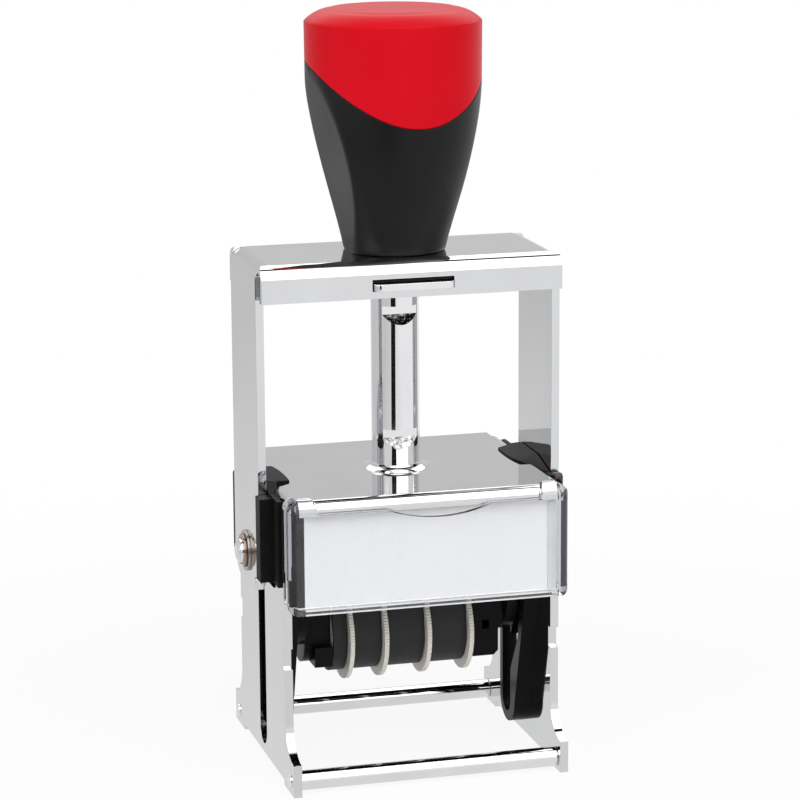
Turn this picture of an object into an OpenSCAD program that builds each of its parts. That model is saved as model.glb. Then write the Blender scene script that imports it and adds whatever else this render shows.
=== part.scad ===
// Self-inking date stamp: a plated steel frame with a fixed post, a sprung bridge with a handle,
// and a carriage with four date wheels that turns over in its cam plates as the bridge is pressed.
// X is across the stamp, Y runs to the back, Z is up. The desk is at z = 0. Sizes in millimetres.

/* [Print and stroke] */
// Travel of the bridge from rest to the print
stroke = 38; // [36:0.5:39]
// Height of the die face over the trunnion axis
die_reach = 7.9; // [7.4:0.1:8.2]
// Height at which the die face stops over the desk, for the paper
print_gap = 0.6; // [0.5:0.1:1]
// Margin from the die to the outer face of a carriage end
die_margin = 2; // [1:0.1:4]
// Depth of the print
die_d = 30; // [26:0.5:31]
// Thickness of the rubber die
die_t = 2.4; // [2:0.1:2.6]

/* [Base frame] */
// Width over the two side plates
base_w = 60; // [58:0.5:63]
// Thickness of the plated sheet
sheet_t = 1.8; // [1.6:0.1:2]
// Depth of a side plate
plate_d = 42; // [40:0.5:44]
// Depth over the feet
foot_d = 56.4; // [54:0.2:60]
// Height of the upright end of a foot
foot_h = 6.9; // [6:0.1:8]
// Length of a foot on the desk
foot_l = 9; // [8:0.5:11]
// Rise of the bottom edge between the feet
arch_h = 1.2; // [0.6:0.1:1.6]
// Depth of the deck over its rolled lips
deck_d = 53.2; // [52.6:0.2:55]
// Height of the rolled lips
lip_h = 3; // [2.6:0.1:3.2]
// Outer bend radius of the sheet
bend_r = 2.2; // [2.1:0.1:2.6]
// Width of the upright slot in a side plate
slot_w = 6.4; // [6.2:0.1:7.2]
// Run-out of the slot under the bush at full stroke
slot_spare = 2.2; // [1:0.1:3]
// Height of the notch in a plate edge
notch_z = 25.7; // [22:0.5:30]
// Length of that notch
notch_l = 4.4; // [3:0.2:6]
// Depth of that notch
notch_d = 1.4; // [0.8:0.1:2]
// Diameter of a spacer rod
rod_d = 4.2; // [3.8:0.1:4.6]
// Height of the rod axis
rod_z = 2.7; // [2.5:0.1:3.4]
// Distance of the rod axis from the end of the foot
rod_inset = 3.2; // [3:0.1:4]
// Diameter of the riveted rod ends
rod_tenon_d = 3; // [2.4:0.1:3.4]

/* [Post and lock] */
// Diameter of the guide post
post_d = 10.3; // [10:0.1:11.4]
// Bore of the guide post
post_bore = 6; // [5.6:0.1:6.4]
// Length of the post above the bridge at rest
post_over = 6; // [4:0.5:7]
// Depth of the lock notches in the post
lock_cut = 1.6; // [1.5:0.1:1.8]
// Press at which the pad lock notch is reached
pad_press = 11.3; // [9:0.1:14]
// Thickness of the lock slide
lock_t = 1.1; // [1:0.1:1.3]
// Width of the lock slide
lock_w = 17.2; // [16.6:0.2:18]
// Width of the tongue of the lock slide
lock_tongue_w = 6; // [5:0.2:7]
// Travel of the lock slide
lock_travel = 1; // [0.8:0.1:1.05]
// Diameter of the raised collar round the foot of the post
collar_d = 16.4; // [15:0.2:18]
// Height of that collar
collar_h = 1.2; // [0.6:0.1:1.4]

/* [Bridge] */
// Depth of a bridge leg
leg_d = 23.4; // [22:0.2:25]
// Depth of the bridge top over its flanges
bridge_d = 30.6; // [30:0.2:33]
// Height of the bridge flanges
flange_h = 7.7; // [7.4:0.1:9]
// Height of the leg ends over the desk at full stroke
leg_clear = 1.5; // [0.8:0.1:2]
// Corner radius of the leg ends
leg_r = 6; // [4:0.5:8]
// Outer bend radius of the bridge sheet
bridge_r = 3.2; // [2.2:0.1:3.6]

/* [Handle] */
// Radius of the grip at the bridge
grip_foot_r = 10.8; // [10.6:0.1:11.6]
// Radius of the grip at the shoulder
grip_r = 18.55; // [18:0.05:19.6]
// Thickness of the crown of the cap
crown_t = 2.5; // [2.2:0.1:4]
// Height over the bridge at which the foot curve of the grip ends
grip_flare_z = 10; // [8:0.5:12]
// Height over the bridge at which the belly curve of the grip starts
grip_belly_z = 16; // [14:0.5:20]
// Height over the bridge at which the grip is widest
grip_wide_z = 36; // [33:0.5:38]
// Height over the bridge at which the flattened sides run out
facet_top_z = 38; // [36:0.5:40]
// Height from the bend of the flattened sides to where they run out
facet_bend_h = 14; // [10:0.5:18]
// Height of the cap edge at the front over the bridge
cap_front_z = 27.4; // [24:0.2:29]
// Slope of the cap edge, rise to the back per unit depth
cap_slope = 0.28; // [0.15:0.01:0.35]
// Bow of the cap edge, rise per squared width
cap_bow = 0.02; // [0.01:0.001:0.025]
// Turn of the handle about its axis as it sits on the bridge, in degrees
handle_turn = 3.8; // [0:0.2:6]
// Wall of the cap
cap_wall = 2.2; // [1.8:0.1:2.6]

/* [Trunnions] */
// Diameter of a trunnion pin
pin_d = 5.2; // [4.8:0.1:5.4]
// Length of the pin outside the leg
pin_out = 2.4; // [2.2:0.1:3]
// Diameter of the retaining washer
washer_d = 8.8; // [8:0.1:10]
// Diameter of the retaining clip
clip_d = 7.2; // [6.8:0.1:7.8]

/* [Carriage] */
// Clearance between a carriage end and its cam plate
cam_gap = 0.4; // [0.3:0.05:0.7]
// Thickness of a carriage end
end_t = 2.5; // [2:0.1:2.8]
// Half depth of a carriage end below the trunnion
end_r = 10; // [9:0.2:10.6]
// Height of the round end over the wheel axle
end_rise = 8.4; // [7:0.2:9]
// Distance of the wheel axle below the trunnion axis
wheel_drop = 19.9; // [19:0.1:20]
// Radius of a date wheel over its teeth
wheel_r = 10; // [9.4:0.1:10.1]
// Thickness of a date wheel rim
wheel_t = 1; // [0.8:0.1:1.2]
// Teeth on a date wheel
wheel_teeth = 96; // [60:4:120]
// Depth of the wheel teeth
tooth_h = 0.25; // [0.15:0.05:0.4]
// Radius of a date band on its drum
band_r = 8; // [7.6:0.1:8.4]
// Radius of a date band at the print
band_tip_r = 2.6; // [2.4:0.1:3]
// Thickness of a date band
band_t = 1; // [0.8:0.1:1.2]
// Diameter of the wheel axle
axle_d = 3; // [2.6:0.1:3.4]
// Widths of the bands, from the left
band_w1 = 3.1; // [2.6:0.1:3.3]
// Width of the second band
band_w2 = 6.2; // [5.6:0.1:6.4]
// Width of the third band
band_w3 = 8.1; // [7.4:0.1:8.3]
// Width of the fourth band
band_w4 = 8; // [7.4:0.1:8.2]

/* [Cam plates] */
// Thickness of a cam plate
cam_t = 3.3; // [3:0.1:3.5]
// Distance of the follower peg from the trunnion axis
peg_arm = 6.5; // [6:0.1:7]
// Diameter of the follower peg
peg_d = 3.6; // [3.2:0.1:4]
// Reach of the peg into the cam groove
peg_l = 2.4; // [1.6:0.1:2.6]
// Half width of the foot of the cam plate
cam_foot_r = 5.4; // [5:0.1:6]
// Lean of the front edge, forward per unit height
cam_lean = 0.28; // [0.24:0.01:0.34]

/* [Ink pad and window] */
// Running gap between the die and the pad at rest
pad_gap = 0.8; // [0.75:0.05:0.95]
// Thickness of the ink pad
pad_t = 3; // [2:0.1:4]
// Thickness of the pad tray
tray_t = 1.2; // [1:0.1:1.6]
// Wall of the pad housing
housing_wall = 1.2; // [1:0.1:1.4]
// Height of the pad housing walls under the deck
housing_h = 20; // [18:0.2:20.6]
// Overhang of the clear window cover past a side plate
cover_over = 0.2; // [0.1:0.1:1]
// Depth of the side walls of the cover
cover_d = 4; // [3.6:0.1:4.8]
// Thickness of the side walls of the cover
cover_side = 1.8; // [1.2:0.1:1.9]
// Height of the clear window cover
cover_h = 21.1; // [19:0.1:21.4]
// Wall of the clear window cover
cover_wall = 1.1; // [0.8:0.1:1.2]
// Corner radius of the window cover
cover_r = 1.6; // [1.2:0.1:2.4]
// Thickness of the index card
card_t = 0.3; // [0.2:0.05:0.4]
// Depth of the finger dip in the top edge of the cover
dip_h = 2; // [1:0.1:2.6]
// Width of the finger dip
dip_w = 22; // [16:0.5:26]
// Place of the finger dip to the right of the middle
dip_x = 2; // [0:0.5:4]

/* [Side guides] */
// Thickness of the guide web between plate and leg
guide_t = 1; // [0.8:0.1:1.4]
// Depth of the front block of a guide
block_d = 3.8; // [3:0.1:6]
// Height of a guide under the deck
guide_h = 18.4; // [17:0.1:19.4]
// Drop of the block top under the top of the guide
block_drop = 0.5; // [0.5:0.1:1.6]
// Reach of the guide wing over the deck
wing_reach = 5.6; // [4.6:0.1:6.2]

/* [Fits] */
// Running clearance of pins and bores, on the radius
run_fit = 0.05; // [0.03:0.01:0.08]
// Clearance of sliding pieces
slide_gap = 0.2; // [0.15:0.01:0.3]
// Clearance of loose pieces
loose_gap = 0.3; // [0.25:0.01:0.4]

/* [Hidden] */
$fn = 64;

// Heights, from the desk up
trunnion_z = stroke + die_reach + print_gap;
die_face_z = trunnion_z + die_reach;
platform_z = die_face_z - die_t;
platform_t = 1.8;
pad_face_z = die_face_z + pad_gap;
tray_z = pad_face_z + pad_t;
rivet_h = 1.2;
tray_room = 0.4;
deck_under_z = tray_z + tray_t + tray_room + rivet_h;
deck_z = deck_under_z + sheet_t;
bridge_over_deck = 1.5;
flange_z = deck_z + stroke + bridge_over_deck;
bridge_z = flange_z + flange_h;
bridge_under_z = bridge_z - sheet_t;
bridge_in_r = bridge_r - sheet_t;
lock_z = bridge_under_z - 0.1 - lock_t;
post_top_z = bridge_z + post_over;
wheel_z = trunnion_z - wheel_drop;
slot_end_z = trunnion_z - stroke - slot_w / 2 - slot_spare;
leg_z = stroke + leg_clear;

// Faces across the stamp, from the middle out
plate_in_x = base_w / 2 - sheet_t;
cam_in_x = plate_in_x - cam_t;
leg_in_x = base_w / 2 + guide_t + slide_gap;
leg_out_x = leg_in_x + sheet_t;
end_out_x = cam_in_x - cam_gap;
end_in_x = end_out_x - end_t;
die_w = 2 * (end_out_x - die_margin);
cover_w = base_w + 2 * cover_over;
deck_half_w = base_w / 2 - bend_r;

// Faces from front to back
lip_y = deck_d / 2;
lip_in_y = lip_y - sheet_t;
card_y = -lip_in_y + 0.1;
cover_z = deck_z - lip_h - cover_h + 0.4;
ear_r = 3;
leg_y = leg_d / 2;
slit_y = leg_y + 0.3;
flange_end_x = leg_out_x - 0.6;
flange_end_r = 1;
rod_y = foot_d / 2 - rod_inset;

// Handle, heights over the bridge
bore_top = post_over + stroke + 0.5;
spindle_top = bore_top + 2;
screw_room = 2;
handle_h = spindle_top + screw_room + crown_t;

// Bores, pins and notches
handle_bore_r = post_d / 2 + loose_gap;
bush_r = slot_w / 2 - 0.1;
notch_levels = [lock_z, lock_z - pad_press, lock_z - stroke];
notch_over = 2.7;
notch_flat = 1.8;
notch_ramp = 2.2;

// Date wheels and bands, from the left
wheel_gap = 0.2;
cheek_left_x = -16.4;
band_starts = [
    cheek_left_x + wheel_gap,
    cheek_left_x + band_w1 + wheel_t + 3 * wheel_gap,
    cheek_left_x + band_w1 + band_w2 + 2 * wheel_t + 5 * wheel_gap,
    cheek_left_x + band_w1 + band_w2 + band_w3 + 3 * wheel_t + 7 * wheel_gap
];
band_widths = [band_w1, band_w2, band_w3, band_w4];
cheek_right_x = band_starts[3] + band_w4 + wheel_t + 2 * wheel_gap;
band_top_z = die_face_z - band_tip_r;
cheek_gap = 1.2;
cheek_r = 8;
cheek_foot = 5.1;
cheek_top = 7.4;
cheek_neck_d = 5.6;
cheek_hub_r = 5.6;
cheek_hub_t = 1.7;
cheek_web = 1.5;
cheek_web_d = 8;

// Extrude a (Y, Z) outline along X
module along_x(x0, x1) {
    translate([x0, 0, 0])
        rotate([90, 0, 90])
            linear_extrude(x1 - x0)
                children();
}

// Extrude an (X, Z) outline along Y
module along_y(y0, y1) {
    translate([0, y1, 0])
        rotate([90, 0, 0])
            linear_extrude(y1 - y0)
                children();
}

// A piece on the right and its mirror image on the left
module both_sides() {
    children();
    mirror([1, 0, 0])
        children();
}

// A cylinder along X
module x_pin(d, x0, x1) {
    translate([x0, 0, 0])
        rotate([0, 90, 0])
            cylinder(d = d, h = x1 - x0);
}

// A box from corner to corner
module block(lo, hi) {
    translate(lo)
        cube(hi - lo);
}

// Outline with two round top corners, standing on v = 0
module arch_outline(w, h, r) {
    translate([-w / 2, 0])
        square([w, h - r]);
    translate([-w / 2 + r, 0])
        square([w - 2 * r, h]);
    for (side = [-1, 1])
        translate([side * (w / 2 - r), h - r])
            intersection() {
                circle(r);
                translate([-r, 0])
                    square([2 * r, r]);
            }
}

// Outline with four round corners, standing on v = 0
module plate_outline(w, h, r) {
    translate([-w / 2, r])
        square([w, h - 2 * r]);
    translate([-w / 2 + r, 0])
        square([w - 2 * r, h]);
    for (side = [-1, 1])
        for (v = [r, h - r])
            translate([side * (w / 2 - r), v])
                circle(r);
}

// Outline round two circles, the lower at the origin, with straight tangents
module belt_outline(low_r, top_r, rise) {
    lean = asin((low_r - top_r) / rise);
    circle(low_r);
    translate([0, rise])
        circle(top_r);
    polygon([
        [low_r * cos(lean), low_r * sin(lean)],
        [top_r * cos(lean), rise + top_r * sin(lean)],
        [-top_r * cos(lean), rise + top_r * sin(lean)],
        [-low_r * cos(lean), low_r * sin(lean)]
    ]);
}

// Point on a curve with four control points
function curve_point(p, t) =
    pow(1 - t, 3) * p[0] + 3 * pow(1 - t, 2) * t * p[1] + 3 * (1 - t) * t * t * p[2] + pow(t, 3) * p[3];

function curve(p, steps) = [for (i = [0 : steps]) curve_point(p, i / steps)];

// Bent sheet round the deck: side plates and bends, feet, and the deck with its lips
module base_sheet() {
    along_y(-plate_d / 2, plate_d / 2)
        difference() {
            arch_outline(base_w, deck_z, bend_r);
            arch_outline(base_w - 2 * sheet_t, deck_under_z, bend_r - sheet_t);
        }
    along_x(-deck_half_w, deck_half_w)
        difference() {
            translate([0, deck_z - lip_h])
                arch_outline(deck_d, lip_h, bend_r);
            translate([0, deck_z - lip_h])
                arch_outline(deck_d - 2 * sheet_t, lip_h - sheet_t, bend_r - sheet_t);
        }
    both_sides()
        along_x(plate_in_x, base_w / 2)
            for (end = [-1, 1])
                scale([end, 1])
                    foot_outline();
}

// Foot with a hollow flare up to the plate edge, towards +v of the plate
module foot_outline() {
    flare = (foot_d - plate_d) / 2;
    inner = plate_d / 2 - 1;
    difference() {
        translate([inner, 0])
            square([foot_d / 2 - inner, foot_h + flare]);
        translate([foot_d / 2, foot_h + flare])
            circle(flare);
    }
}

module base_frame() {
    color("silver")
        difference() {
            union() {
                base_sheet();
                post_collar();
            }
            block(
                [-base_w, -foot_d / 2 + foot_l, -1],
                [base_w, foot_d / 2 - foot_l, arch_h]
            );
            trunnion_slot(slot_w, slot_end_z + slot_w / 2, base_w / 2 + 1);
            for (end = [-1, 1]) {
                translate([0, end * plate_d / 2, notch_z + notch_l / 2])
                    cube([base_w + 2, 2 * notch_d, notch_l], center = true);
                translate([0, end * rod_y, rod_z])
                    x_pin(rod_tenon_d, -base_w, base_w);
            }
            translate([0, 0, deck_under_z - 1])
                cylinder(d = post_d - 2, h = sheet_t + 2);
            translate([0, 0, deck_z])
                cylinder(d = post_d, h = 2 * collar_h);
        }
}

// Collar drawn up round the post, with a hollow flank
module post_collar() {
    in_r = post_d / 2;
    rotate_extrude()
        polygon(concat(
            [[in_r - 1, deck_z - 0.5], [collar_d / 2, deck_z - 0.5]],
            curve([
                [collar_d / 2, deck_z],
                [in_r + 1.3, deck_z + 0.08 * collar_h],
                [in_r + 0.5, deck_z + 0.5 * collar_h],
                [in_r + 0.25, deck_z + collar_h]
            ], 8),
            [[in_r - 1, deck_z + collar_h]]
        ));
}

// Cutter for the upright slots, from the lowest pin centre to above the trunnion at rest
module trunnion_slot(w, low_z, half_x) {
    top_z = trunnion_z + w / 2 + 1;
    translate([0, 0, low_z])
        x_pin(w, -half_x, half_x);
    block([-half_x, -w / 2, low_z], [half_x, w / 2, top_z]);
}

module guide_post() {
    shoulder_z = deck_z;
    color("gainsboro")
        difference() {
            union() {
                translate([0, 0, shoulder_z])
                    cylinder(d = post_d, h = post_top_z - 0.6 - shoulder_z);
                translate([0, 0, post_top_z - 0.6])
                    cylinder(d1 = post_d, d2 = post_d - 1.2, h = 0.6);
                translate([0, 0, deck_under_z])
                    cylinder(d = post_d - 2, h = sheet_t);
                translate([0, 0, deck_under_z - rivet_h])
                    cylinder(d = post_d + 2, h = rivet_h);
            }
            translate([0, 0, deck_under_z])
                cylinder(d = post_bore, h = post_top_z);
            for (level = notch_levels)
                lock_notch(level);
        }
}

// Notch in the front of the post: a flat with a ramp under it
module lock_notch(level) {
    front = -post_d / 2;
    top = level + notch_over;
    along_x(-post_d, post_d)
        polygon([
            [front - 1, top],
            [front + lock_cut, top],
            [front + lock_cut, top - notch_flat],
            [front, top - notch_flat - notch_ramp],
            [front - 1, top - notch_flat - notch_ramp]
        ]);
}

// Spacer rod with riveted ends
module spacer_rod(y) {
    rivet = 0.4;
    color("gainsboro")
        translate([0, y, rod_z]) {
            x_pin(rod_d, -plate_in_x, plate_in_x);
            x_pin(rod_tenon_d, -base_w / 2 - rivet, base_w / 2 + rivet);
        }
}

module front_rod() {
    spacer_rod(-rod_y);
}

module rear_rod() {
    spacer_rod(rod_y);
}

// Place of the follower peg in (Y, Z) when the carriage has turned by an angle
function peg_place(turn) = [
    -peg_arm * sin(turn),
    trunnion_z - stroke * turn / 180 - peg_arm * cos(turn)
];

function peg_heading(turn) = peg_place(turn + 0.5) - peg_place(turn - 0.5);

function peg_side(turn, off) =
    let (h = peg_heading(turn))
    peg_place(turn) + off / norm(h) * [-h[1], h[0]];

// Groove that the peg sweeps as the bridge goes down and the carriage turns over
module peg_groove() {
    half = peg_d / 2 + loose_gap;
    steps = 24;
    polygon(concat(
        [for (i = [0 : steps]) peg_side(180 * i / steps, half)],
        [for (i = [steps : -1 : 0]) peg_side(180 * i / steps, -half)]
    ));
    for (turn = [0, 180])
        translate(peg_place(turn))
            circle(half);
}

// Outline of a cam plate in (Y, Z): a round foot and a front edge that leans forward
module cam_outline() {
    foot_z = slot_end_z + cam_foot_r + 0.4;
    top_z = pad_face_z - 1.7;
    middle_y = -0.6;
    translate([middle_y, foot_z])
        circle(cam_foot_r);
    polygon([
        [middle_y + cam_foot_r, foot_z],
        [middle_y + cam_foot_r, top_z],
        [middle_y - cam_foot_r - cam_lean * (top_z - foot_z), top_z],
        [middle_y - cam_foot_r, foot_z]
    ]);
}

// Cam plate on the inner face of the right side plate
module cam_plate() {
    groove_depth = peg_l + 0.3 - (cam_in_x - end_out_x);
    pin_slot_w = pin_d + 2 * loose_gap;
    color("dimgray")
        difference() {
            along_x(cam_in_x, plate_in_x)
                cam_outline();
            along_x(cam_in_x - 1, cam_in_x + groove_depth)
                peg_groove();
            trunnion_slot(pin_slot_w, trunnion_z - stroke, base_w / 2);
        }
}

module cam_plate_left() {
    mirror([1, 0, 0])
        cam_plate();
}

module cam_plate_right() {
    cam_plate();
}

// Guide of the left leg: web, front block, rear cap and the wing over the deck edge
module side_guide() {
    web_x = -base_w / 2 - guide_t;
    guide_top_z = deck_z - 0.9;
    guide_z = guide_top_z - guide_h;
    rail_y = leg_y + loose_gap;
    cap_w = sheet_t + 0.6;
    lip_w = cap_w - 0.65;
    block_x = -leg_out_x - 0.65;
    front_y = -plate_d / 2 + 0.3;
    tooth = 1.4;
    color("dimgray") {
        difference() {
            union() {
                block([web_x, front_y, guide_z], [-base_w / 2, rail_y + cap_w, guide_top_z]);
                block(
                    [block_x, -rail_y - block_d, guide_z],
                    [web_x, -rail_y, guide_top_z - block_drop]
                );
                block(
                    [block_x, -rail_y - tooth, guide_z - tooth],
                    [block_x + tooth, -rail_y, guide_z + 1]
                );
                along_y(rail_y, rail_y + cap_w)
                    translate([-leg_in_x + slide_gap - lip_w / 2, guide_z])
                        arch_outline(lip_w, guide_h - 1, lip_w / 2 - 0.01);
            }
            block([-2 * base_w, -slot_w / 2, 0], [-base_w / 4, slot_w / 2, trunnion_z + slot_w]);
        }
        guide_wing(web_x);
    }
}

// Leaf of the guide that lies over the deck edge, with its tip to the front
module guide_wing(web_x) {
    rear_y = leg_y - loose_gap;
    tip_y = -0.69 * leg_y;
    front_y = -leg_y - loose_gap - 1;
    low_z = deck_z - bend_r - 1;
    neck_fall = 29;
    leaf_edge = 0.35;
    leaf_t = 1.05;
    fall = atan((leaf_t - leaf_edge) / wing_reach);
    end_y = 0.21 * leg_y;
    end_fall = 12;
    difference() {
        translate([0, 0, low_z])
            linear_extrude(deck_z + leaf_t - low_z)
                polygon(concat(
                    [[web_x, front_y], [web_x + 1.6, front_y], [web_x + 2.6, tip_y - 1.2]],
                    curve([
                        [web_x + wing_reach, tip_y],
                        [web_x + 1.06 * wing_reach, -0.17 * leg_y],
                        [web_x + 1.04 * wing_reach, 0.42 * leg_y],
                        [web_x + 0.66 * wing_reach, 0.62 * leg_y]
                    ], 8),
                    [[web_x + 0.18 * wing_reach, 0.93 * leg_y], [web_x, rear_y]]
                ));
        along_y(-leg_d, leg_d)
            arch_outline(base_w + 0.1, deck_z + 0.05, bend_r + 0.05);
        translate([web_x - 1, tip_y - 1.2, deck_z + leaf_t])
            rotate([neck_fall, 0, 0])
                translate([0, -2 * leg_d, 0])
                    cube([4 * wing_reach, 2 * leg_d, 4 * leaf_t]);
        translate([web_x, -leg_d, deck_z + leaf_t])
            rotate([0, fall, 0])
                cube([4 * wing_reach, 2 * leg_d, 4 * leaf_t]);
        translate([web_x - 1, end_y, deck_z + leaf_t])
            rotate([-end_fall, 0, 0])
                cube([4 * wing_reach, 2 * leg_d, 4 * leaf_t]);
    }
}

module side_guide_left() {
    side_guide();
}

module side_guide_right() {
    rotate([0, 0, 180])
        side_guide();
}

// Frame under the deck that carries the pad tray: front and rear walls and two ledges
module pad_housing() {
    half_w = plate_in_x - 0.1;
    wall_y = lip_in_y - 0.1;
    wall_z = deck_under_z - housing_h;
    wall_top_z = deck_under_z - loose_gap;
    ledge_z = tray_z - 0.1;
    ledge_x = cam_in_x;
    wall_half = half_w - 1.7;
    post_w = 1.3;
    color("dimgray")
        difference() {
            union() {
                for (end = [-1, 1])
                    scale([1, end, 1])
                        block([-wall_half, wall_y - housing_wall, wall_z], [wall_half, wall_y, wall_top_z]);
                both_sides()
                    block([ledge_x, -wall_y, ledge_z - housing_wall], [half_w, wall_y, ledge_z]);
            }
            block(
                [-half_w + post_w, 0, ledge_z],
                [half_w - post_w, lip_y + 1, deck_z]
            );
            block(
                [-ledge_x, 0, pad_face_z - 0.4],
                [ledge_x, lip_y + 1, deck_z]
            );
        }
}

// Clear cover over the card: a shallow tray with a finger dip and two ears over the deck lip
module window_cover() {
    front_y = -lip_y - cover_wall - loose_gap;
    inner_w = cover_w - 2 * cover_side;
    ear_low = cover_z + cover_h - cover_r - cover_wall;
    color([0.85, 0.9, 0.95, 0.5])
        difference() {
            union() {
                cover_body(front_y, cover_z);
                cover_ears(front_y, cover_z + cover_h / 2);
            }
            along_y(front_y + cover_wall, 0)
                translate([0, cover_z + cover_wall])
                    plate_outline(inner_w, cover_h - 2 * cover_wall, cover_r - cover_wall);
            along_x(-inner_w / 2, inner_w / 2)
                translate([0, ear_low])
                    arch_outline(
                        -2 * (front_y + cover_wall), deck_z + 0.1 - ear_low, ear_r - cover_wall
                    );
            block([-inner_w / 2, card_y - card_t - 0.1, 0], [inner_w / 2, 0, deck_z]);
            finger_dip(front_y, cover_z + cover_h);
        }
}

// Body of the cover, with round corners seen from the front and from above
module cover_body(front_y, cover_z) {
    edge_r = 1.5;
    intersection() {
        along_y(front_y, front_y + cover_d)
            translate([0, cover_z])
                plate_outline(cover_w, cover_h, cover_r);
        translate([0, front_y + cover_d, cover_z])
            linear_extrude(cover_h)
                rotate(180)
                    arch_outline(cover_w, cover_d, edge_r);
    }
}

// Ears that rise from the front of the cover and bend back over the deck lip
module cover_ears(front_y, low_z) {
    hook_t = 0.5;
    hook_y = -lip_in_y + 0.4;
    ear_w = 6;
    ear_h = deck_z + hook_t - low_z;
    inner_r = 1.2;
    difference() {
        intersection() {
            along_y(front_y, hook_y)
                translate([0, low_z])
                    arch_outline(cover_w, ear_h, ear_r);
            along_x(-cover_w, cover_w)
                translate([hook_y, low_z])
                    arch_outline(2 * (hook_y - front_y), ear_h, ear_r);
            both_sides()
                along_y(front_y - 1, hook_y + 1)
                    translate([(cover_w - ear_w + 1) / 2, low_z - 1])
                        arch_outline(ear_w + 1, ear_h + 1, inner_r);
        }
        block([-cover_w, front_y + cover_d, low_z - 1], [cover_w, 0, deck_z + 0.1]);
    }
}

// Cutter for the dip in the top edge of the cover, a shallow arc
module finger_dip(front_y, top_z) {
    dip_r = (dip_w * dip_w / 4 + dip_h * dip_h) / (2 * dip_h);
    along_y(front_y - 1, 0)
        translate([dip_x, top_z - dip_h + dip_r])
            circle(dip_r, $fn = 180);
}

// Card behind the window
module index_card() {
    half_w = cover_w / 2 - cover_side;
    color("white")
        block(
            [-half_w + 2, card_y - card_t, cover_z + 0.3],
            [half_w - loose_gap, card_y, deck_z - lip_h - 0.2]
        );
}

// Tray that carries the pad and slides out at the back, with a finger lip
module pad_tray() {
    half_w = plate_in_x - 0.1 - 1.3 - loose_gap;
    front_y = -(lip_in_y - 0.1 - housing_wall - loose_gap);
    rear_y = lip_in_y + 0.3;
    panel_w = end_out_x - 0.3;
    grip_w = 16;
    grip_d = 1.4;
    panel_z = pad_face_z - 0.1;
    color("dimgray") {
        block([-half_w, front_y, tray_z], [half_w, rear_y, tray_z + tray_t]);
        block([-panel_w, rear_y - 1.4, panel_z], [panel_w, rear_y, tray_z + tray_t]);
        along_x(-grip_w / 2, grip_w / 2)
            translate([rear_y + grip_d / 2 - 0.2, panel_z])
                plate_outline(grip_d, tray_z + tray_t - panel_z, 0.5);
    }
}

module ink_pad() {
    margin = 1.4;
    color("midnightblue")
        block(
            [-die_w / 2 - margin, -die_d / 2 - margin, pad_face_z],
            [die_w / 2 + margin, die_d / 2 + margin, tray_z]
        );
}

// Compression spring inside the post, as one round tube along a helix
spring_wire = 0.9;
spring_turns = 12;
spring_low_z = deck_under_z + 0.05 + spring_wire / 2;
spring_top_z = post_top_z - 1.1 - spring_wire / 2;
spring_r = post_bore / 2 - 0.3 - spring_wire / 2;
spring_rings = 8;
spring_sides = 6;
spring_pitch = (spring_top_z - spring_low_z) / spring_turns;
echo(spring_gap_to_itself = spring_pitch - spring_wire);

function spring_place(k, j) =
    let (turn = 360 * k / spring_rings, side = 360 * j / spring_sides, w = spring_wire / 2)
    [
        (spring_r + w * cos(side)) * cos(turn),
        (spring_r + w * cos(side)) * sin(turn),
        spring_low_z + spring_pitch * k / spring_rings + w * sin(side)
    ];

module return_spring() {
    n = spring_turns * spring_rings;
    s = spring_sides;
    color("gainsboro")
        polyhedron(
            points = [for (k = [0 : n]) for (j = [0 : s - 1]) spring_place(k, j)],
            faces = concat(
                [for (j = [1 : s - 2]) [0, j, j + 1]],
                [for (k = [0 : n - 1]) for (j = [0 : s - 1])
                    [k * s + j, (k + 1) * s + j, k * s + (j + 1) % s]],
                [for (k = [0 : n - 1]) for (j = [0 : s - 1])
                    [k * s + (j + 1) % s, (k + 1) * s + j, (k + 1) * s + (j + 1) % s]],
                [for (j = [1 : s - 2]) [n * s, n * s + j + 1, n * s + j]]
            )
        );
}

// Bridge of bent sheet: a channel across the top and two legs
module bridge_yoke() {
    slot_h = lock_tab_t + 1;
    color("silver")
        difference() {
            union() {
                difference() {
                    intersection() {
                        along_x(-leg_out_x, leg_out_x)
                            difference() {
                                translate([0, flange_z])
                                    arch_outline(bridge_d, flange_h, bridge_r);
                                translate([0, flange_z])
                                    arch_outline(bridge_d - 2 * sheet_t, flange_h - sheet_t, bridge_in_r);
                            }
                        along_y(-bridge_d, bridge_d)
                            translate([0, flange_z])
                                arch_outline(2 * flange_end_x, flange_h, flange_end_r);
                    }
                    both_sides()
                        block(
                            [leg_out_x - bridge_r, -slit_y, flange_z - 1],
                            [leg_out_x + 1, slit_y, bridge_z + 1]
                        );
                }
                intersection() {
                    along_y(-leg_y, leg_y)
                        translate([0, leg_z])
                            difference() {
                                arch_outline(2 * leg_out_x, bridge_z - leg_z, bridge_r);
                                arch_outline(2 * leg_in_x, bridge_under_z - leg_z, bridge_in_r);
                            }
                    along_x(-leg_out_x, leg_out_x)
                        leg_outline(bridge_z);
                }
            }
            both_sides()
                translate([0, 0, trunnion_z])
                    x_pin(pin_d + 2 * run_fit, leg_in_x - 1, leg_out_x + 1);
            translate([0, 0, flange_z])
                cylinder(r = handle_bore_r, h = flange_h + 1);
            block(
                [-lock_w / 2 - slide_gap, -bridge_d, lock_tab_z - 0.2],
                [lock_w / 2 + slide_gap, -bridge_d / 2 + sheet_t + bridge_r, lock_tab_z - 0.2 + slot_h]
            );
            both_sides()
                translate([handle_screw_x, 0, bridge_under_z - 0.001])
                    handle_screw_shape(run_fit);
        }
}

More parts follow.
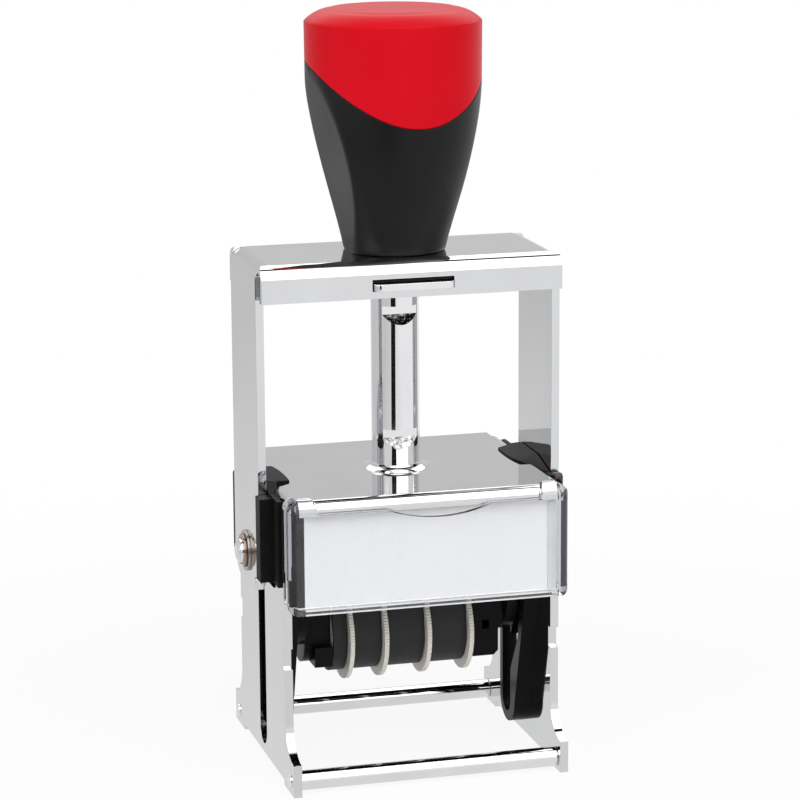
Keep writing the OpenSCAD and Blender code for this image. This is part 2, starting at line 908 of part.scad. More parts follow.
// Leg seen from the side, with round lower corners
module leg_outline(top_z) {
    translate([0, leg_z])
        difference() {
            plate_outline(leg_d, top_z - leg_z + leg_r, leg_r);
            translate([-leg_d, top_z - leg_z])
                square([2 * leg_d, leg_r + 1]);
        }
}

lock_bow = 3;
lock_rear_y = post_d / 2 + lock_bow;
lock_tab_drop = 3;
lock_tab_t = 1.5;
lock_tab_z = lock_z - lock_tab_drop;
handle_screw_x = 8.3;
screw_head_r = 2;
screw_r = 1.2;
screw_l = 10;

// Countersunk screw up into the foot of the grip
module handle_screw_shape(extra) {
    cylinder(r1 = screw_head_r + extra, r2 = screw_r + extra, h = screw_head_r - screw_r + 0.3);
    cylinder(r = screw_r + extra, h = screw_l + extra);
}

module handle_screws() {
    color("gray")
        both_sides()
            translate([handle_screw_x, 0, bridge_under_z])
                handle_screw_shape(0);
}

// Block under the bridge that guides the post and carries the lock slide
module lock_block() {
    half_w = 14;
    low_z = flange_z + 0.4;
    front_y = -bridge_d / 2 + sheet_t + slide_gap + lock_t + lock_travel + loose_gap;
    rear_y = bridge_d / 2 - sheet_t;
    color("dimgray")
        difference() {
            intersection() {
                block([-half_w, front_y, low_z], [half_w, rear_y, bridge_under_z]);
                along_x(-half_w, half_w)
                    translate([0, low_z])
                        arch_outline(2 * rear_y, bridge_under_z - low_z, bridge_in_r + slide_gap);
            }
            block(
                [-lock_w / 2 - slide_gap, front_y - 1, lock_z - slide_gap],
                [lock_w / 2 + slide_gap, lock_rear_y + lock_travel + slide_gap, bridge_z]
            );
            translate([0, 0, low_z - 1])
                cylinder(d = post_d + 4 * run_fit, h = flange_h);
        }
}

// Lock slide: a plate with a tongue in its post hole, and a tab out through the front flange
module lock_slide() {
    tab_out = 1.7;
    tab_r = 1.6;
    front_y = -bridge_d / 2 + sheet_t + slide_gap;
    rear_y = lock_rear_y;
    hole = post_d / 2 + loose_gap;
    tongue = lock_tongue_w / 2;
    color("gainsboro") {
        difference() {
            along_x(-lock_w / 2, lock_w / 2)
                intersection() {
                    translate([0, lock_tab_z])
                        arch_outline(-2 * front_y, lock_z + lock_t - lock_tab_z, bridge_in_r);
                    union() {
                        translate([front_y, lock_z])
                            square([rear_y - front_y, lock_t]);
                        translate([front_y, lock_tab_z])
                            square([lock_t, lock_z + lock_t - lock_tab_z]);
                    }
                }
            block([-hole - 0.4, -hole - 2, lock_z - 1], [-tongue, hole, lock_z + lock_t + 1]);
            block([tongue, -hole - 2, lock_z - 1], [hole + 0.4, hole, lock_z + lock_t + 1]);
            block([-tongue - 1, -hole, lock_z - 1], [tongue + 1, hole, lock_z + lock_t + 1]);
        }
        translate([0, 0, lock_tab_z])
            linear_extrude(lock_tab_t)
                translate([0, front_y + lock_t])
                    rotate(180)
                        arch_outline(lock_w, front_y + lock_t + bridge_d / 2 + tab_out, tab_r);
    }
}

// Radius of the handle over its height, in (R, Z) above the bridge
shoulder_drop = 2.8;
shoulder_z = handle_h - shoulder_drop;
crown_r = grip_r - 4.75;
crown_edge = 0.3;
function grip_side() = curve([
    [grip_foot_r, 0],
    [grip_foot_r + 2.4, grip_flare_z],
    [grip_r - 0.1, grip_belly_z],
    [grip_r, grip_wide_z]
], 20);
function crown_side() = curve([
    [grip_r + 0.1, shoulder_z],
    [grip_r + 0.1, shoulder_z + 0.08 * shoulder_drop],
    [grip_r - 2.2, shoulder_z + 0.86 * shoulder_drop],
    [crown_r, handle_h - crown_edge]
], 8);

// Half width of the flattened sides of the grip, in (X, Z) above the bridge
function facet_side() = curve([
    [grip_foot_r - 0.6, 0],
    [grip_foot_r, grip_flare_z],
    [grip_r - 4.5, facet_top_z - facet_bend_h],
    [grip_r + 0.1, facet_top_z]
], 12);

// Outer shape of grip and cap together
module handle_shape() {
    facet = facet_side();
    wide = grip_r + 1;
    translate([0, 0, bridge_z])
        rotate([0, 0, handle_turn])
            intersection() {
                rotate_extrude()
                    polygon(concat(
                        [[0, 0]],
                        grip_side(),
                        crown_side(),
                        [[crown_r - 1, handle_h], [0, handle_h]]
                    ));
                along_y(-wide, wide)
                    polygon(concat(
                        facet,
                        [[wide, facet_top_z + 2], [wide, handle_h + 1]],
                        [[-wide, handle_h + 1], [-wide, facet_top_z + 2]],
                        [for (i = [len(facet) - 1 : -1 : 0]) [-facet[i][0], facet[i][1]]]
                    ));
            }
}

// Everything above the seam of grip and cap: a bowed face that rises to the back
module above_seam() {
    wide = grip_r + 2;
    steps = 12;
    tilt = atan(cap_slope);
    low = cap_front_z + cap_slope * grip_r;
    translate([0, 0, bridge_z + low])
        rotate([tilt, 0, handle_turn])
            along_y(-2 * wide, 2 * wide)
                polygon(concat(
                    [[wide, 3 * wide], [-wide, 3 * wide]],
                    [for (i = [-steps : steps]) let (x = wide * i / steps) [x, cap_bow * x * x]]
                ));
}

// Core of the grip that the cap is pushed over
module cap_core(extra) {
    core_low = cap_front_z + 2;
    core_top = handle_h - crown_t;
    translate([0, 0, bridge_z + core_low])
        cylinder(r = grip_r - cap_wall + extra, h = core_top + extra - core_low);
}

module handle_grip() {
    color([0.14, 0.14, 0.15])
        difference() {
            union() {
                difference() {
                    handle_shape();
                    above_seam();
                }
                cap_core(0);
            }
            translate([0, 0, bridge_z - 1])
                cylinder(r = handle_bore_r, h = bore_top + 1);
            translate([0, 0, bridge_z])
                cylinder(d = spindle_d + 2 * run_fit, h = handle_h);
            translate([0, 0, bridge_z + spindle_top])
                cylinder(d = screw_head_d + 1, h = handle_h);
            both_sides()
                translate([handle_screw_x, 0, bridge_under_z])
                    handle_screw_shape(run_fit);
        }
}

module handle_cap() {
    color([0.84, 0.08, 0.11])
        difference() {
            intersection() {
                handle_shape();
                above_seam();
            }
            cap_core(0.1);
        }
}

spindle_d = 3.4;
screw_head_d = 8;

// Spindle that hangs from the top of the grip and presses on the spring inside the post
module spring_spindle() {
    head_z = post_top_z - 1.1;
    color("gray") {
        translate([0, 0, head_z])
            cylinder(d = post_bore - 2 * slide_gap, h = 2);
        translate([0, 0, head_z])
            cylinder(d = spindle_d, h = bridge_z + spindle_top - head_z);
    }
}

module spindle_screw() {
    head_h = 1.6;
    color("gray")
        translate([0, 0, bridge_z + spindle_top])
            difference() {
                cylinder(d = screw_head_d, h = head_h);
                translate([0, 0, head_h])
                    cube([screw_head_d + 1, 1, 1.2], center = true);
            }
}

// Trunnion pins: a head inside the carriage end, out through cam plate, side plate and leg
module trunnion_pins() {
    head_t = 1.1;
    end_x = leg_out_x + pin_out;
    dome = 0.8;
    color("gainsboro")
        both_sides()
            translate([0, 0, trunnion_z]) {
                x_pin(pin_d + 1.8, end_in_x - 0.1 - head_t, end_in_x - 0.1);
                x_pin(pin_d, end_in_x - 0.2, end_x - dome);
                translate([end_x - dome, 0, 0])
                    rotate([0, 90, 0])
                        cylinder(d1 = pin_d, d2 = pin_d - 2 * dome, h = dome);
            }
}

// Ring along X
module x_ring(d_out, d_in, x0, x1) {
    difference() {
        x_pin(d_out, x0, x1);
        x_pin(d_in, x0 - 1, x1 + 1);
    }
}

module slide_bushes() {
    color("goldenrod")
        both_sides()
            translate([0, 0, trunnion_z])
                x_ring(2 * bush_r, pin_d + 2 * run_fit, plate_in_x + 0.1, leg_in_x - 0.05);
}

washer_t = 0.6;

module trunnion_washers() {
    color("gray")
        both_sides()
            translate([0, 0, trunnion_z])
                x_ring(washer_d, pin_d + 2 * run_fit, leg_out_x, leg_out_x + washer_t);
}

// Open spring clips that hold the pins, with the mouth to the bottom
module retaining_clips() {
    clip_x = leg_out_x + washer_t;
    clip_t = 0.6;
    color("gray")
        both_sides()
            translate([0, 0, trunnion_z])
                difference() {
                    x_ring(clip_d, pin_d + 2 * run_fit, clip_x, clip_x + clip_t);
                    translate([clip_x - 1, -1.3, -clip_d])
                        cube([clip_t + 2, 2.6, clip_d]);
                }
}

// Carriage: two ends on the trunnions and the platform that carries the die
module carriage_frame() {
    color("dimgray")
        difference() {
            union() {
                both_sides()
                    along_x(end_in_x, end_out_x)
                        end_outline();
                block(
                    [-end_in_x, -platform_half_d, platform_z - platform_t],
                    [end_in_x, platform_half_d, platform_z]
                );
            }
            both_sides()
                translate([0, 0, trunnion_z])
                    x_pin(pin_d + 2 * run_fit, end_in_x - 1, end_out_x + 1);
            band_window(platform_z - platform_t - 1, platform_z + 1);
        }
}

platform_half_d = die_d / 2 + 0.6;

// Carriage end in (Y, Z): a round foot, straight sides and shoulders under the platform
module end_outline() {
    round_z = wheel_z + end_rise;
    neck_z = trunnion_z - 2.5;
    shoulder = platform_z - platform_t - 1.2;
    translate([0, round_z])
        circle(end_r);
    polygon([
        [-end_r, round_z],
        [end_r, round_z],
        [end_r, neck_z],
        [platform_half_d, shoulder],
        [platform_half_d, platform_z],
        [-platform_half_d, platform_z],
        [-platform_half_d, shoulder],
        [-end_r, neck_z]
    ]);
}

// Cutter for the window that the bands come up through
module band_window(z0, z1) {
    half = band_tip_r + 1.2;
    block([cheek_left_x, -half, z0], [cheek_right_x, half, z1]);
}

// Rubber die with the window for the date line
module text_plate() {
    color([0.25, 0.12, 0.1])
        difference() {
            block([-die_w / 2, -die_d / 2, platform_z], [die_w / 2, die_d / 2, die_face_z]);
            band_window(platform_z - 1, die_face_z + 1);
        }
}

// Left cheek of the date unit, against the carriage end
module band_cheek_left() {
    box_x = -end_in_x + cheek_hub_t;
    color("dimgray")
        difference() {
            union() {
                cheek_web_block(cheek_left_x - cheek_web, cheek_left_x);
                block(
                    [box_x, -cheek_r, wheel_z - cheek_foot],
                    [cheek_left_x, cheek_r, wheel_z - 0.8]
                );
                block(
                    [-end_in_x, -cheek_neck_d, wheel_z - 1],
                    [cheek_left_x, cheek_neck_d, wheel_z + cheek_top]
                );
                translate([0, 0, wheel_z])
                    x_pin(2 * cheek_hub_r, -end_in_x, box_x);
            }
            translate([0, 0, wheel_z])
                x_pin(axle_d + 2 * run_fit, -end_in_x - 1, cheek_left_x + 1);
        }
}

// Right cheek, with the open gap between its foot and the arm to the carriage end
module band_cheek_right() {
    foot_x = end_in_x - cheek_gap;
    gap_x = cheek_right_x + 2.4;
    gap_w = 1.5;
    gap_low = 0.2;
    gap_top = 2.2;
    foot_cut = 1;
    color("dimgray")
        difference() {
            union() {
                cheek_web_block(cheek_right_x, cheek_right_x + cheek_web);
                along_y(-0.9 * cheek_r, 0.9 * cheek_r)
                    translate([0, wheel_z])
                        polygon([
                            [cheek_right_x, -cheek_foot - 0.7],
                            [foot_x - foot_cut, -cheek_foot - 0.7],
                            [foot_x, -cheek_foot - 0.7 + foot_cut],
                            [foot_x, 0],
                            [end_in_x, cheek_gap + 0.6],
                            [end_in_x, cheek_top],
                            [cheek_right_x, cheek_top]
                        ]);
            }
            block(
                [gap_x, -cheek_r, wheel_z + gap_low],
                [gap_x + gap_w, cheek_r, wheel_z + gap_top]
            );
            translate([0, 0, wheel_z])
                x_pin(axle_d + 2 * run_fit, cheek_right_x - 1, gap_x + 1);
        }
}

// Web of a cheek, from the wheel axle up to the platform
module cheek_web_block(x0, x1) {
    block([x0, -cheek_web_d / 2, wheel_z], [x1, cheek_web_d / 2, platform_z - platform_t]);
}

// Bar under the band tips, between the two cheeks
module type_bar() {
    bar_r = band_tip_r - band_t - slide_gap;
    color("dimgray")
        along_x(cheek_left_x, cheek_right_x)
            translate([0, trunnion_z])
                arch_outline(2 * bar_r, band_top_z + bar_r - trunnion_z, bar_r - 0.01);
}

module wheel_axle() {
    color("gainsboro")
        translate([0, 0, wheel_z])
            x_pin(axle_d, -end_in_x + 0.5, cheek_right_x + 2.3);
}

// Pegs on the carriage ends that run in the cam grooves
module follower_pegs() {
    color("gainsboro")
        both_sides()
            translate([0, 0, trunnion_z - peg_arm])
                x_pin(peg_d, end_out_x, end_out_x + peg_l);
}

// Closed rubber band round its drum and over the type bar
module date_band(i) {
    rise = band_top_z - wheel_z;
    color([0.13, 0.13, 0.14])
        along_x(band_starts[i], band_starts[i] + band_widths[i])
            translate([0, wheel_z])
                difference() {
                    belt_outline(band_r, band_tip_r, rise);
                    belt_outline(band_r - band_t, band_tip_r - band_t, rise);
                }
}

module date_band_1() {
    date_band(0);
}

module date_band_2() {
    date_band(1);
}

module date_band_3() {
    date_band(2);
}

module date_band_4() {
    date_band(3);
}

// Date wheel: a toothed rim to the right of its band, and the drum inside the band
module date_wheel(i) {
    rim_x = band_starts[i] + band_widths[i] + wheel_gap;
    drum_r = band_r - band_t - slide_gap;
    color("ivory")
        difference() {
            union() {
                along_x(rim_x, rim_x + wheel_t)
                    translate([0, wheel_z])
                        tooth_outline();
                translate([0, 0, wheel_z])
                    x_pin(2 * drum_r, band_starts[i], rim_x);
            }
            translate([0, 0, wheel_z])
                x_pin(axle_d + 4 * run_fit, band_starts[i] - 1, rim_x + wheel_t + 1);
        }
}

// Rim of fine teeth with flat crests
module tooth_outline() {
    step = 360 / wheel_teeth;
    low_r = wheel_r - tooth_h;
    polygon([
        for (i = [0 : wheel_teeth - 1])
            for (k = [[low_r, 0], [wheel_r, 0.3], [wheel_r, 0.7]])
                k[0] * [cos(step * (i + k[1])), sin(step * (i + k[1]))]
    ]);
}

module date_wheel_1() {
    date_wheel(0);
}

module date_wheel_2() {
    date_wheel(1);
}

module date_wheel_3() {
    date_wheel(2);
}

module date_wheel_4() {
    date_wheel(3);
}

base_frame();
guide_post();
front_rod();
rear_rod();
cam_plate_left();
cam_plate_right();
side_guide_left();
side_guide_right();
pad_housing();
window_cover();
index_card();
return_spring();
pad_tray();
ink_pad();
bridge_yoke();
lock_block();
handle_grip();
handle_cap();
handle_screws();
spring_spindle();
spindle_screw();
trunnion_pins();
slide_bushes();
trunnion_washers();
retaining_clips();
lock_slide();
carriage_frame();
band_cheek_left();
band_cheek_right();
type_bar();
wheel_axle();
follower_pegs();
text_plate();
date_band_1();
date_band_2();
date_band_3();
date_band_4();
date_wheel_1();
date_wheel_2();
date_wheel_3();
date_wheel_4();
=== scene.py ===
"""Looks of a self-inking date stamp: plated sheet, moulded plastics, rubber and a clear card window.

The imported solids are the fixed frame. Each class below holds one sub-assembly: it softens the edges of
the solids that show, models what needs smoother forms, and dresses everything with procedural finishes.
"""

import logging
import math
from collections.abc import Callable
from dataclasses import dataclass
from enum import Enum

import bmesh
import bpy
from mathutils import Matrix, Vector


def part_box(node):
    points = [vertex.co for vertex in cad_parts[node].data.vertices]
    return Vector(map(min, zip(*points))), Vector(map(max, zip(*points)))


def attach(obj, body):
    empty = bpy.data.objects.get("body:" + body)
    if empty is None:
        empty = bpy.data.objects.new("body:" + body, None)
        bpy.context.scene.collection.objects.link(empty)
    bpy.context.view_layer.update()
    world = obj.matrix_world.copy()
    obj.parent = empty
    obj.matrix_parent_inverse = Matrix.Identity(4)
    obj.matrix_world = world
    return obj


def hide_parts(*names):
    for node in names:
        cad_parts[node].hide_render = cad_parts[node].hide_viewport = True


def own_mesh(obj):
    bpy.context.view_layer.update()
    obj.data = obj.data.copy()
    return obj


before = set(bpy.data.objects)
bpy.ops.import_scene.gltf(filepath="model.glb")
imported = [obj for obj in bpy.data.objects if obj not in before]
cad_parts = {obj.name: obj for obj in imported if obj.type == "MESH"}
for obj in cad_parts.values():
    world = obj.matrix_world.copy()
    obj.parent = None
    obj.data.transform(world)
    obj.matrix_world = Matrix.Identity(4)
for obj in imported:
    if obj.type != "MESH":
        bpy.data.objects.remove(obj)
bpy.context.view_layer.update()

LOG = logging.getLogger("date_stamp")

Colour = tuple[float, float, float, float]
Point = tuple[float, float, float]
Outline = list[tuple[float, float]]

MM = 0.001

# Part of a noise's range that carries its contrast
NOISE_LOW, NOISE_HIGH = 0.3, 0.7

# Limits of the mesh work: merging, joining flat faces, cutting, and the turn from which an edge is rounded
MERGE_GAP = 0.002 * MM
FLAT_TURN = math.radians(0.6)
CUT_GAP = 0.01 * MM
SHARP_TURN = math.radians(34)
LARGE_FACE_WEIGHT = 80
BLOCK_SEGMENTS = 4

# Two planes a little off the middle, which split faces that run round a hole
OFF_MIDDLE = 0.11
CROSS = ((OFF_MIDDLE * MM, 0.0, 0.0), (0.0, OFF_MIDDLE * MM, 0.0))


def planes(y_places: tuple[float, ...], z_places: tuple[float, ...]) -> tuple[Point, ...]:
    """Returns points on cutting planes square to Y and to Z, at places in millimetres."""
    return (*((0.0, y * MM, 0.0) for y in y_places), *((0.0, 0.0, z * MM) for z in z_places))


def tint(red: float, green: float, blue: float) -> Colour:
    """Returns an opaque colour."""
    return (red, green, blue, 1.0)


def grey(value: float) -> Colour:
    """Returns an opaque neutral colour."""
    return tint(value, value, value)


class Body(str, Enum):
    """Moving groups of the stamp that a piece can ride on."""

    BASE = "base"
    DRAWER = "drawer"
    BRIDGE = "bridge"
    LOCK = "lock"
    CARRIAGE = "carriage"
    WHEEL_1 = "wheel_1"
    WHEEL_2 = "wheel_2"
    WHEEL_3 = "wheel_3"
    WHEEL_4 = "wheel_4"


class NodeBench:
    """Small helper that adds and links the shader nodes of one material or world."""

    def __init__(
        self, owner: bpy.types.Material | bpy.types.World, output: str = "ShaderNodeOutputMaterial",
    ) -> None:
        """Starts with an empty node tree and its output.

        Args:
            owner: Material or world that the nodes belong to.
            output: Blender's name of its output node.
        """
        owner.use_nodes = True
        self.owner = owner
        self.tree = owner.node_tree
        self.tree.nodes.clear()
        self.output = self.add(output)

    def add(self, kind: str, **settings: object) -> bpy.types.Node:
        """Adds a node and sets its properties and sockets.

        Args:
            kind: Blender's name of the node type.
            settings: Properties by name, or sockets by their label with spaces as underscores.

        Returns:
            The new node.
        """
        node = self.tree.nodes.new(kind)
        for key, value in settings.items():
            label = key.replace("_", " ")
            if label in node.inputs:
                node.inputs[label].default_value = value
            else:
                setattr(node, key, value)
        return node

    def link(self, source: bpy.types.Node, out: str, target: bpy.types.Node, into: str | int) -> None:
        """Links an output, by its label, to an input, by its label or number."""
        self.tree.links.new(source.outputs[out], target.inputs[into])

    def coords(self) -> bpy.types.Node:
        """Adds a Texture Coordinate node."""
        return self.add("ShaderNodeTexCoord")

    def noise(self, scale: float, detail: float, stretch: Point = (1.0, 1.0, 1.0)) -> bpy.types.Node:
        """Adds noise on Object coordinates.

        Args:
            scale: Frequency per metre.
            detail: Octaves.
            stretch: Scale along X, Y and Z before the noise.

        Returns:
            The noise node.
        """
        place = self.add("ShaderNodeMapping", Scale=stretch)
        self.link(self.coords(), "Object", place, "Vector")
        noise = self.add("ShaderNodeTexNoise", Scale=scale, Detail=detail)
        self.link(place, "Vector", noise, "Vector")
        return noise

    def paint(self, shader: bpy.types.Node, noise: bpy.types.Node, dark: Colour, light: Colour) -> None:
        """Colours a shader between two colours.

        Args:
            shader: Shader that is coloured.
            noise: Noise that picks the colour.
            dark: Colour at the noise's low end.
            light: Colour at its high end.
        """
        ramp = self.add("ShaderNodeValToRGB")
        first, last = ramp.color_ramp.elements
        first.position, first.color = NOISE_LOW, dark
        last.position, last.color = NOISE_HIGH, light
        self.link(noise, "Fac", ramp, "Fac")
        self.link(ramp, "Color", shader, "Base Color")

    def gloss(self, shader: bpy.types.Node, noise: bpy.types.Node, sharp: float, dull: float) -> None:
        """Varies a shader's roughness.

        Args:
            shader: Shader that is changed.
            noise: Noise that picks the roughness.
            sharp: Roughness at the noise's low end.
            dull: Roughness at its high end.
        """
        reach = self.add(
            "ShaderNodeMapRange", From_Min=NOISE_LOW, From_Max=NOISE_HIGH, To_Min=sharp, To_Max=dull,
        )
        self.link(noise, "Fac", reach, "Value")
        self.link(reach, "Result", shader, "Roughness")

    def relief(self, shader: bpy.types.Node, noise: bpy.types.Node, depth: float) -> None:
        """Adds fine relief to a shader.

        Args:
            shader: Shader whose normal is changed.
            noise: Noise that gives the height.
            depth: Depth in metres.
        """
        bump = self.add("ShaderNodeBump", Strength=1.0, Distance=depth)
        self.link(noise, "Fac", bump, "Height")
        self.link(bump, "Normal", shader, "Normal")

    def done(self, shader: bpy.types.Node, out: str = "BSDF") -> bpy.types.Material | bpy.types.World:
        """Links the last shader to the output and returns the material or world."""
        self.link(shader, out, self.output, "Surface")
        return self.owner


@dataclass(frozen=True)
class PlatedFinish:
    """Bright plating: a mirror with faint waves of the sheet and a trace of wiping marks, which in the
    milled notch run from near black to bright as painted reflection.
    """

    name: str
    dark: Colour
    light: Colour
    sharp: float
    dull: float
    wave: float
    wave_scale: float = 110.0
    wipe_and_painted_reflection_scale: float = 70.0
    wipe_and_painted_reflection_stretch: Point = (1.0, 1.0, 0.5)

    def material(self) -> bpy.types.Material:
        """Makes the material.

        Returns:
            The finished material.
        """
        bench = NodeBench(bpy.data.materials.new(self.name))
        shader = bench.add("ShaderNodeBsdfPrincipled", Metallic=1.0)
        wipe_and_painted_reflection = bench.noise(self.wipe_and_painted_reflection_scale, detail=3.0, stretch=self.wipe_and_painted_reflection_stretch)
        bench.paint(shader, wipe_and_painted_reflection, self.dark, self.light)
        bench.gloss(shader, wipe_and_painted_reflection, self.sharp, self.dull)
        bench.relief(shader, bench.noise(self.wave_scale, detail=2.0), self.wave)
        return bench.done(shader)


@dataclass(frozen=True)
class MouldedFinish:
    """Moulded plastic: a spark-eroded grain, slight tone variation and a satin gloss."""

    name: str
    dark: Colour
    light: Colour
    sharp: float
    dull: float
    grain_scale: float
    grain_depth: float
    specular: float = 0.5
    cloud_scale: float = 55.0

    def material(self) -> bpy.types.Material:
        """Makes the material.

        Returns:
            The finished material.
        """
        bench = NodeBench(bpy.data.materials.new(self.name))
        shader = bench.add("ShaderNodeBsdfPrincipled", Specular_IOR_Level=self.specular)
        cloud = bench.noise(self.cloud_scale, detail=4.0)
        bench.paint(shader, cloud, self.dark, self.light)
        bench.gloss(shader, cloud, self.sharp, self.dull)
        bench.relief(shader, bench.noise(self.grain_scale, detail=3.0), self.grain_depth)
        return bench.done(shader)


@dataclass(frozen=True)
class RubberFinish:
    """Moulded rubber: dull, with a dusty bloom and a soft pebble."""

    name: str
    dark: Colour
    bloom: Colour
    rough: float
    dust_rough: float = 0.14
    specular: float = 0.35
    dust_scale: float = 420.0
    pebble_scale: float = 2600.0
    pebble_depth: float = 0.03 * MM

    def material(self) -> bpy.types.Material:
        """Makes the material.

        Returns:
            The finished material.
        """
        bench = NodeBench(bpy.data.materials.new(self.name))
        shader = bench.add("ShaderNodeBsdfPrincipled", Specular_IOR_Level=self.specular)
        dust = bench.noise(self.dust_scale, detail=6.0)
        bench.paint(shader, dust, self.dark, self.bloom)
        bench.gloss(shader, dust, self.rough, self.rough + self.dust_rough)
        bench.relief(shader, bench.noise(self.pebble_scale, detail=2.0), self.pebble_depth)
        return bench.done(shader)


@dataclass(frozen=True)
class ClearFinish:
    """Clear moulded plastic with painted shade: its colour goes grey where it is seen through its side
    walls.
    """

    name: str
    face_tint: Colour
    painted_wall_shade: Colour
    wall_x: float
    rough: float
    inside: float = 0.4 * MM
    outside: float = 0.6 * MM
    ior: float = 1.49
    haze_scale: float = 90.0
    shadow_tint: Colour = tint(0.94, 0.945, 0.95)

    def material(self) -> bpy.types.Material:
        """Makes the material.

        Returns:
            The finished material.
        """
        bench = NodeBench(bpy.data.materials.new(self.name))
        shader = bench.add("ShaderNodeBsdfPrincipled", IOR=self.ior, Transmission_Weight=1.0)
        split = bench.add("ShaderNodeSeparateXYZ")
        bench.link(bench.coords(), "Object", split, "Vector")
        side = bench.add("ShaderNodeMath", operation="ABSOLUTE")
        bench.link(split, "X", side, "Value")
        # Painted shade: share of the grey wall colour, rising across the side wall
        depth = bench.add(
            "ShaderNodeMapRange", interpolation_type="SMOOTHSTEP",
            From_Min=self.wall_x - self.inside, From_Max=self.wall_x + self.outside,
        )
        bench.link(side, "Value", depth, "Value")
        ramp = bench.add("ShaderNodeValToRGB")
        ramp.color_ramp.elements[0].color = self.face_tint
        ramp.color_ramp.elements[1].color = self.painted_wall_shade
        bench.link(depth, "Result", ramp, "Fac")
        bench.link(ramp, "Color", shader, "Base Color")
        haze = bench.noise(self.haze_scale, detail=3.0)
        bench.gloss(shader, haze, self.rough, 2 * self.rough)
        through = bench.add("ShaderNodeBsdfTransparent", Color=self.shadow_tint)
        mix = bench.add("ShaderNodeMixShader")
        bench.link(bench.add("ShaderNodeLightPath"), "Is Shadow Ray", mix, "Fac")
        bench.link(shader, "BSDF", mix, 1)
        bench.link(through, "BSDF", mix, 2)
        return bench.done(mix, "Shader")


@dataclass(frozen=True)
class FibreFinish:
    """Paper or felt: short fibres in the colour and the relief."""

    name: str
    dark: Colour
    light: Colour
    fibre_scale: float
    depth: float
    sheen: float
    rough: float = 0.85
    stretch: Point = (1.0, 3.0, 0.4)

    def material(self) -> bpy.types.Material:
        """Makes the material.

        Returns:
            The finished material.
        """
        bench = NodeBench(bpy.data.materials.new(self.name))
        shader = bench.add("ShaderNodeBsdfPrincipled", Roughness=self.rough, Sheen_Weight=self.sheen)
        fibres = bench.noise(self.fibre_scale, detail=6.0, stretch=self.stretch)
        bench.paint(shader, fibres, self.dark, self.light)
        bench.relief(shader, fibres, self.depth)
        return bench.done(shader)


class Finish(Enum):
    """The finishes of the stamp, each by its recipe."""

    PLATED = PlatedFinish(
        "plated_sheet", tint(0.66, 0.665, 0.675), tint(0.7, 0.705, 0.715), 0.03, 0.06, 0.003 * MM)
    ROUND_PLATED = PlatedFinish(
        "plated_rod", tint(0.74, 0.745, 0.76), tint(0.8, 0.8, 0.81), 0.025, 0.05, 0.002 * MM)
    # Painted reflection: near black to bright colour patches stand in for the dark and bright surroundings
    # that the notch mirrors
    MILLED_PAINTED_REFLECTION = PlatedFinish(
        "milled_notch_painted_reflection", grey(0.02), grey(0.7), 0.08, 0.2, 0.2 * MM, wave_scale=1500.0, wipe_and_painted_reflection_scale=1300.0)
    STEEL = PlatedFinish(
        "plain_steel", tint(0.26, 0.25, 0.24), tint(0.42, 0.4, 0.38), 0.16, 0.28, 0.006 * MM)
    # Painted reflection: the bronze is darkened to stand in for the black it mirrors
    BRONZE_PAINTED_DARK = PlatedFinish(
        "spring_bronze_painted_dark", tint(0.27, 0.18, 0.13), tint(0.4, 0.28, 0.21), 0.16, 0.26, 0.006 * MM)
    GRIP_BLACK = MouldedFinish(
        "grip_black", grey(0.003), grey(0.005), 0.33, 0.4, 3600.0, 0.012 * MM, specular=0.2)
    BLACK = MouldedFinish(
        "moulded_black", grey(0.004), grey(0.008), 0.22, 0.3, 3000.0, 0.01 * MM, specular=0.08)
    GUIDE_BLACK = MouldedFinish(
        "guide_black", grey(0.004), grey(0.007), 0.44, 0.52, 3000.0, 0.01 * MM, specular=0.08)
    NUB_BROWN = MouldedFinish(
        "guide_brown", tint(0.035, 0.02, 0.018), tint(0.05, 0.03, 0.027), 0.3, 0.4, 3000.0, 0.01 * MM)
    # Painted shade on the strip of card seen through the cover's thick corner
    CARD_STRIP_SHADE = MouldedFinish(
        "painted_card_shade", tint(0.6, 0.615, 0.595), tint(0.66, 0.675, 0.655),
        0.4, 0.5, 2000.0, 0.004 * MM, specular=0.3)
    # Painted shade in the cover's clear side walls
    SLATE_SHADE = MouldedFinish(
        "slate_painted_shade", tint(0.06, 0.063, 0.12), tint(0.085, 0.088, 0.155),
        0.3, 0.4, 2600.0, 0.006 * MM, specular=0.2)
    CAP_RED = MouldedFinish(
        "cap_red", tint(0.6, 0.003, 0.01), tint(0.64, 0.004, 0.013),
        0.32, 0.38, 3600.0, 0.008 * MM, specular=0.065)
    IVORY = MouldedFinish(
        "wheel_ivory", tint(0.82, 0.79, 0.72), tint(0.9, 0.87, 0.81), 0.42, 0.52, 2600.0, 0.015 * MM)
    BUSH = MouldedFinish(
        "bush_nylon", tint(0.52, 0.46, 0.36), tint(0.6, 0.54, 0.44), 0.4, 0.5, 2600.0, 0.01 * MM)
    BAND = RubberFinish("band_rubber", grey(0.011), grey(0.02), 0.5)
    DIE = RubberFinish("die_rubber", tint(0.16, 0.055, 0.05), tint(0.23, 0.085, 0.075), 0.55)
    # Its second colour is painted shade in the cover's side walls
    CLEAR = ClearFinish(
        "clear_cover", tint(0.97, 0.975, 0.985), tint(0.46, 0.475, 0.53), 28.6 * MM, 0.012)
    CARD = FibreFinish(
        "window_card", tint(0.83, 0.83, 0.84), tint(0.855, 0.855, 0.865), 900.0, 0.003 * MM, 0.0)
    FELT = FibreFinish(
        "ink_felt", tint(0.008, 0.012, 0.05), tint(0.02, 0.03, 0.1), 1500.0, 0.12 * MM, 0.3)


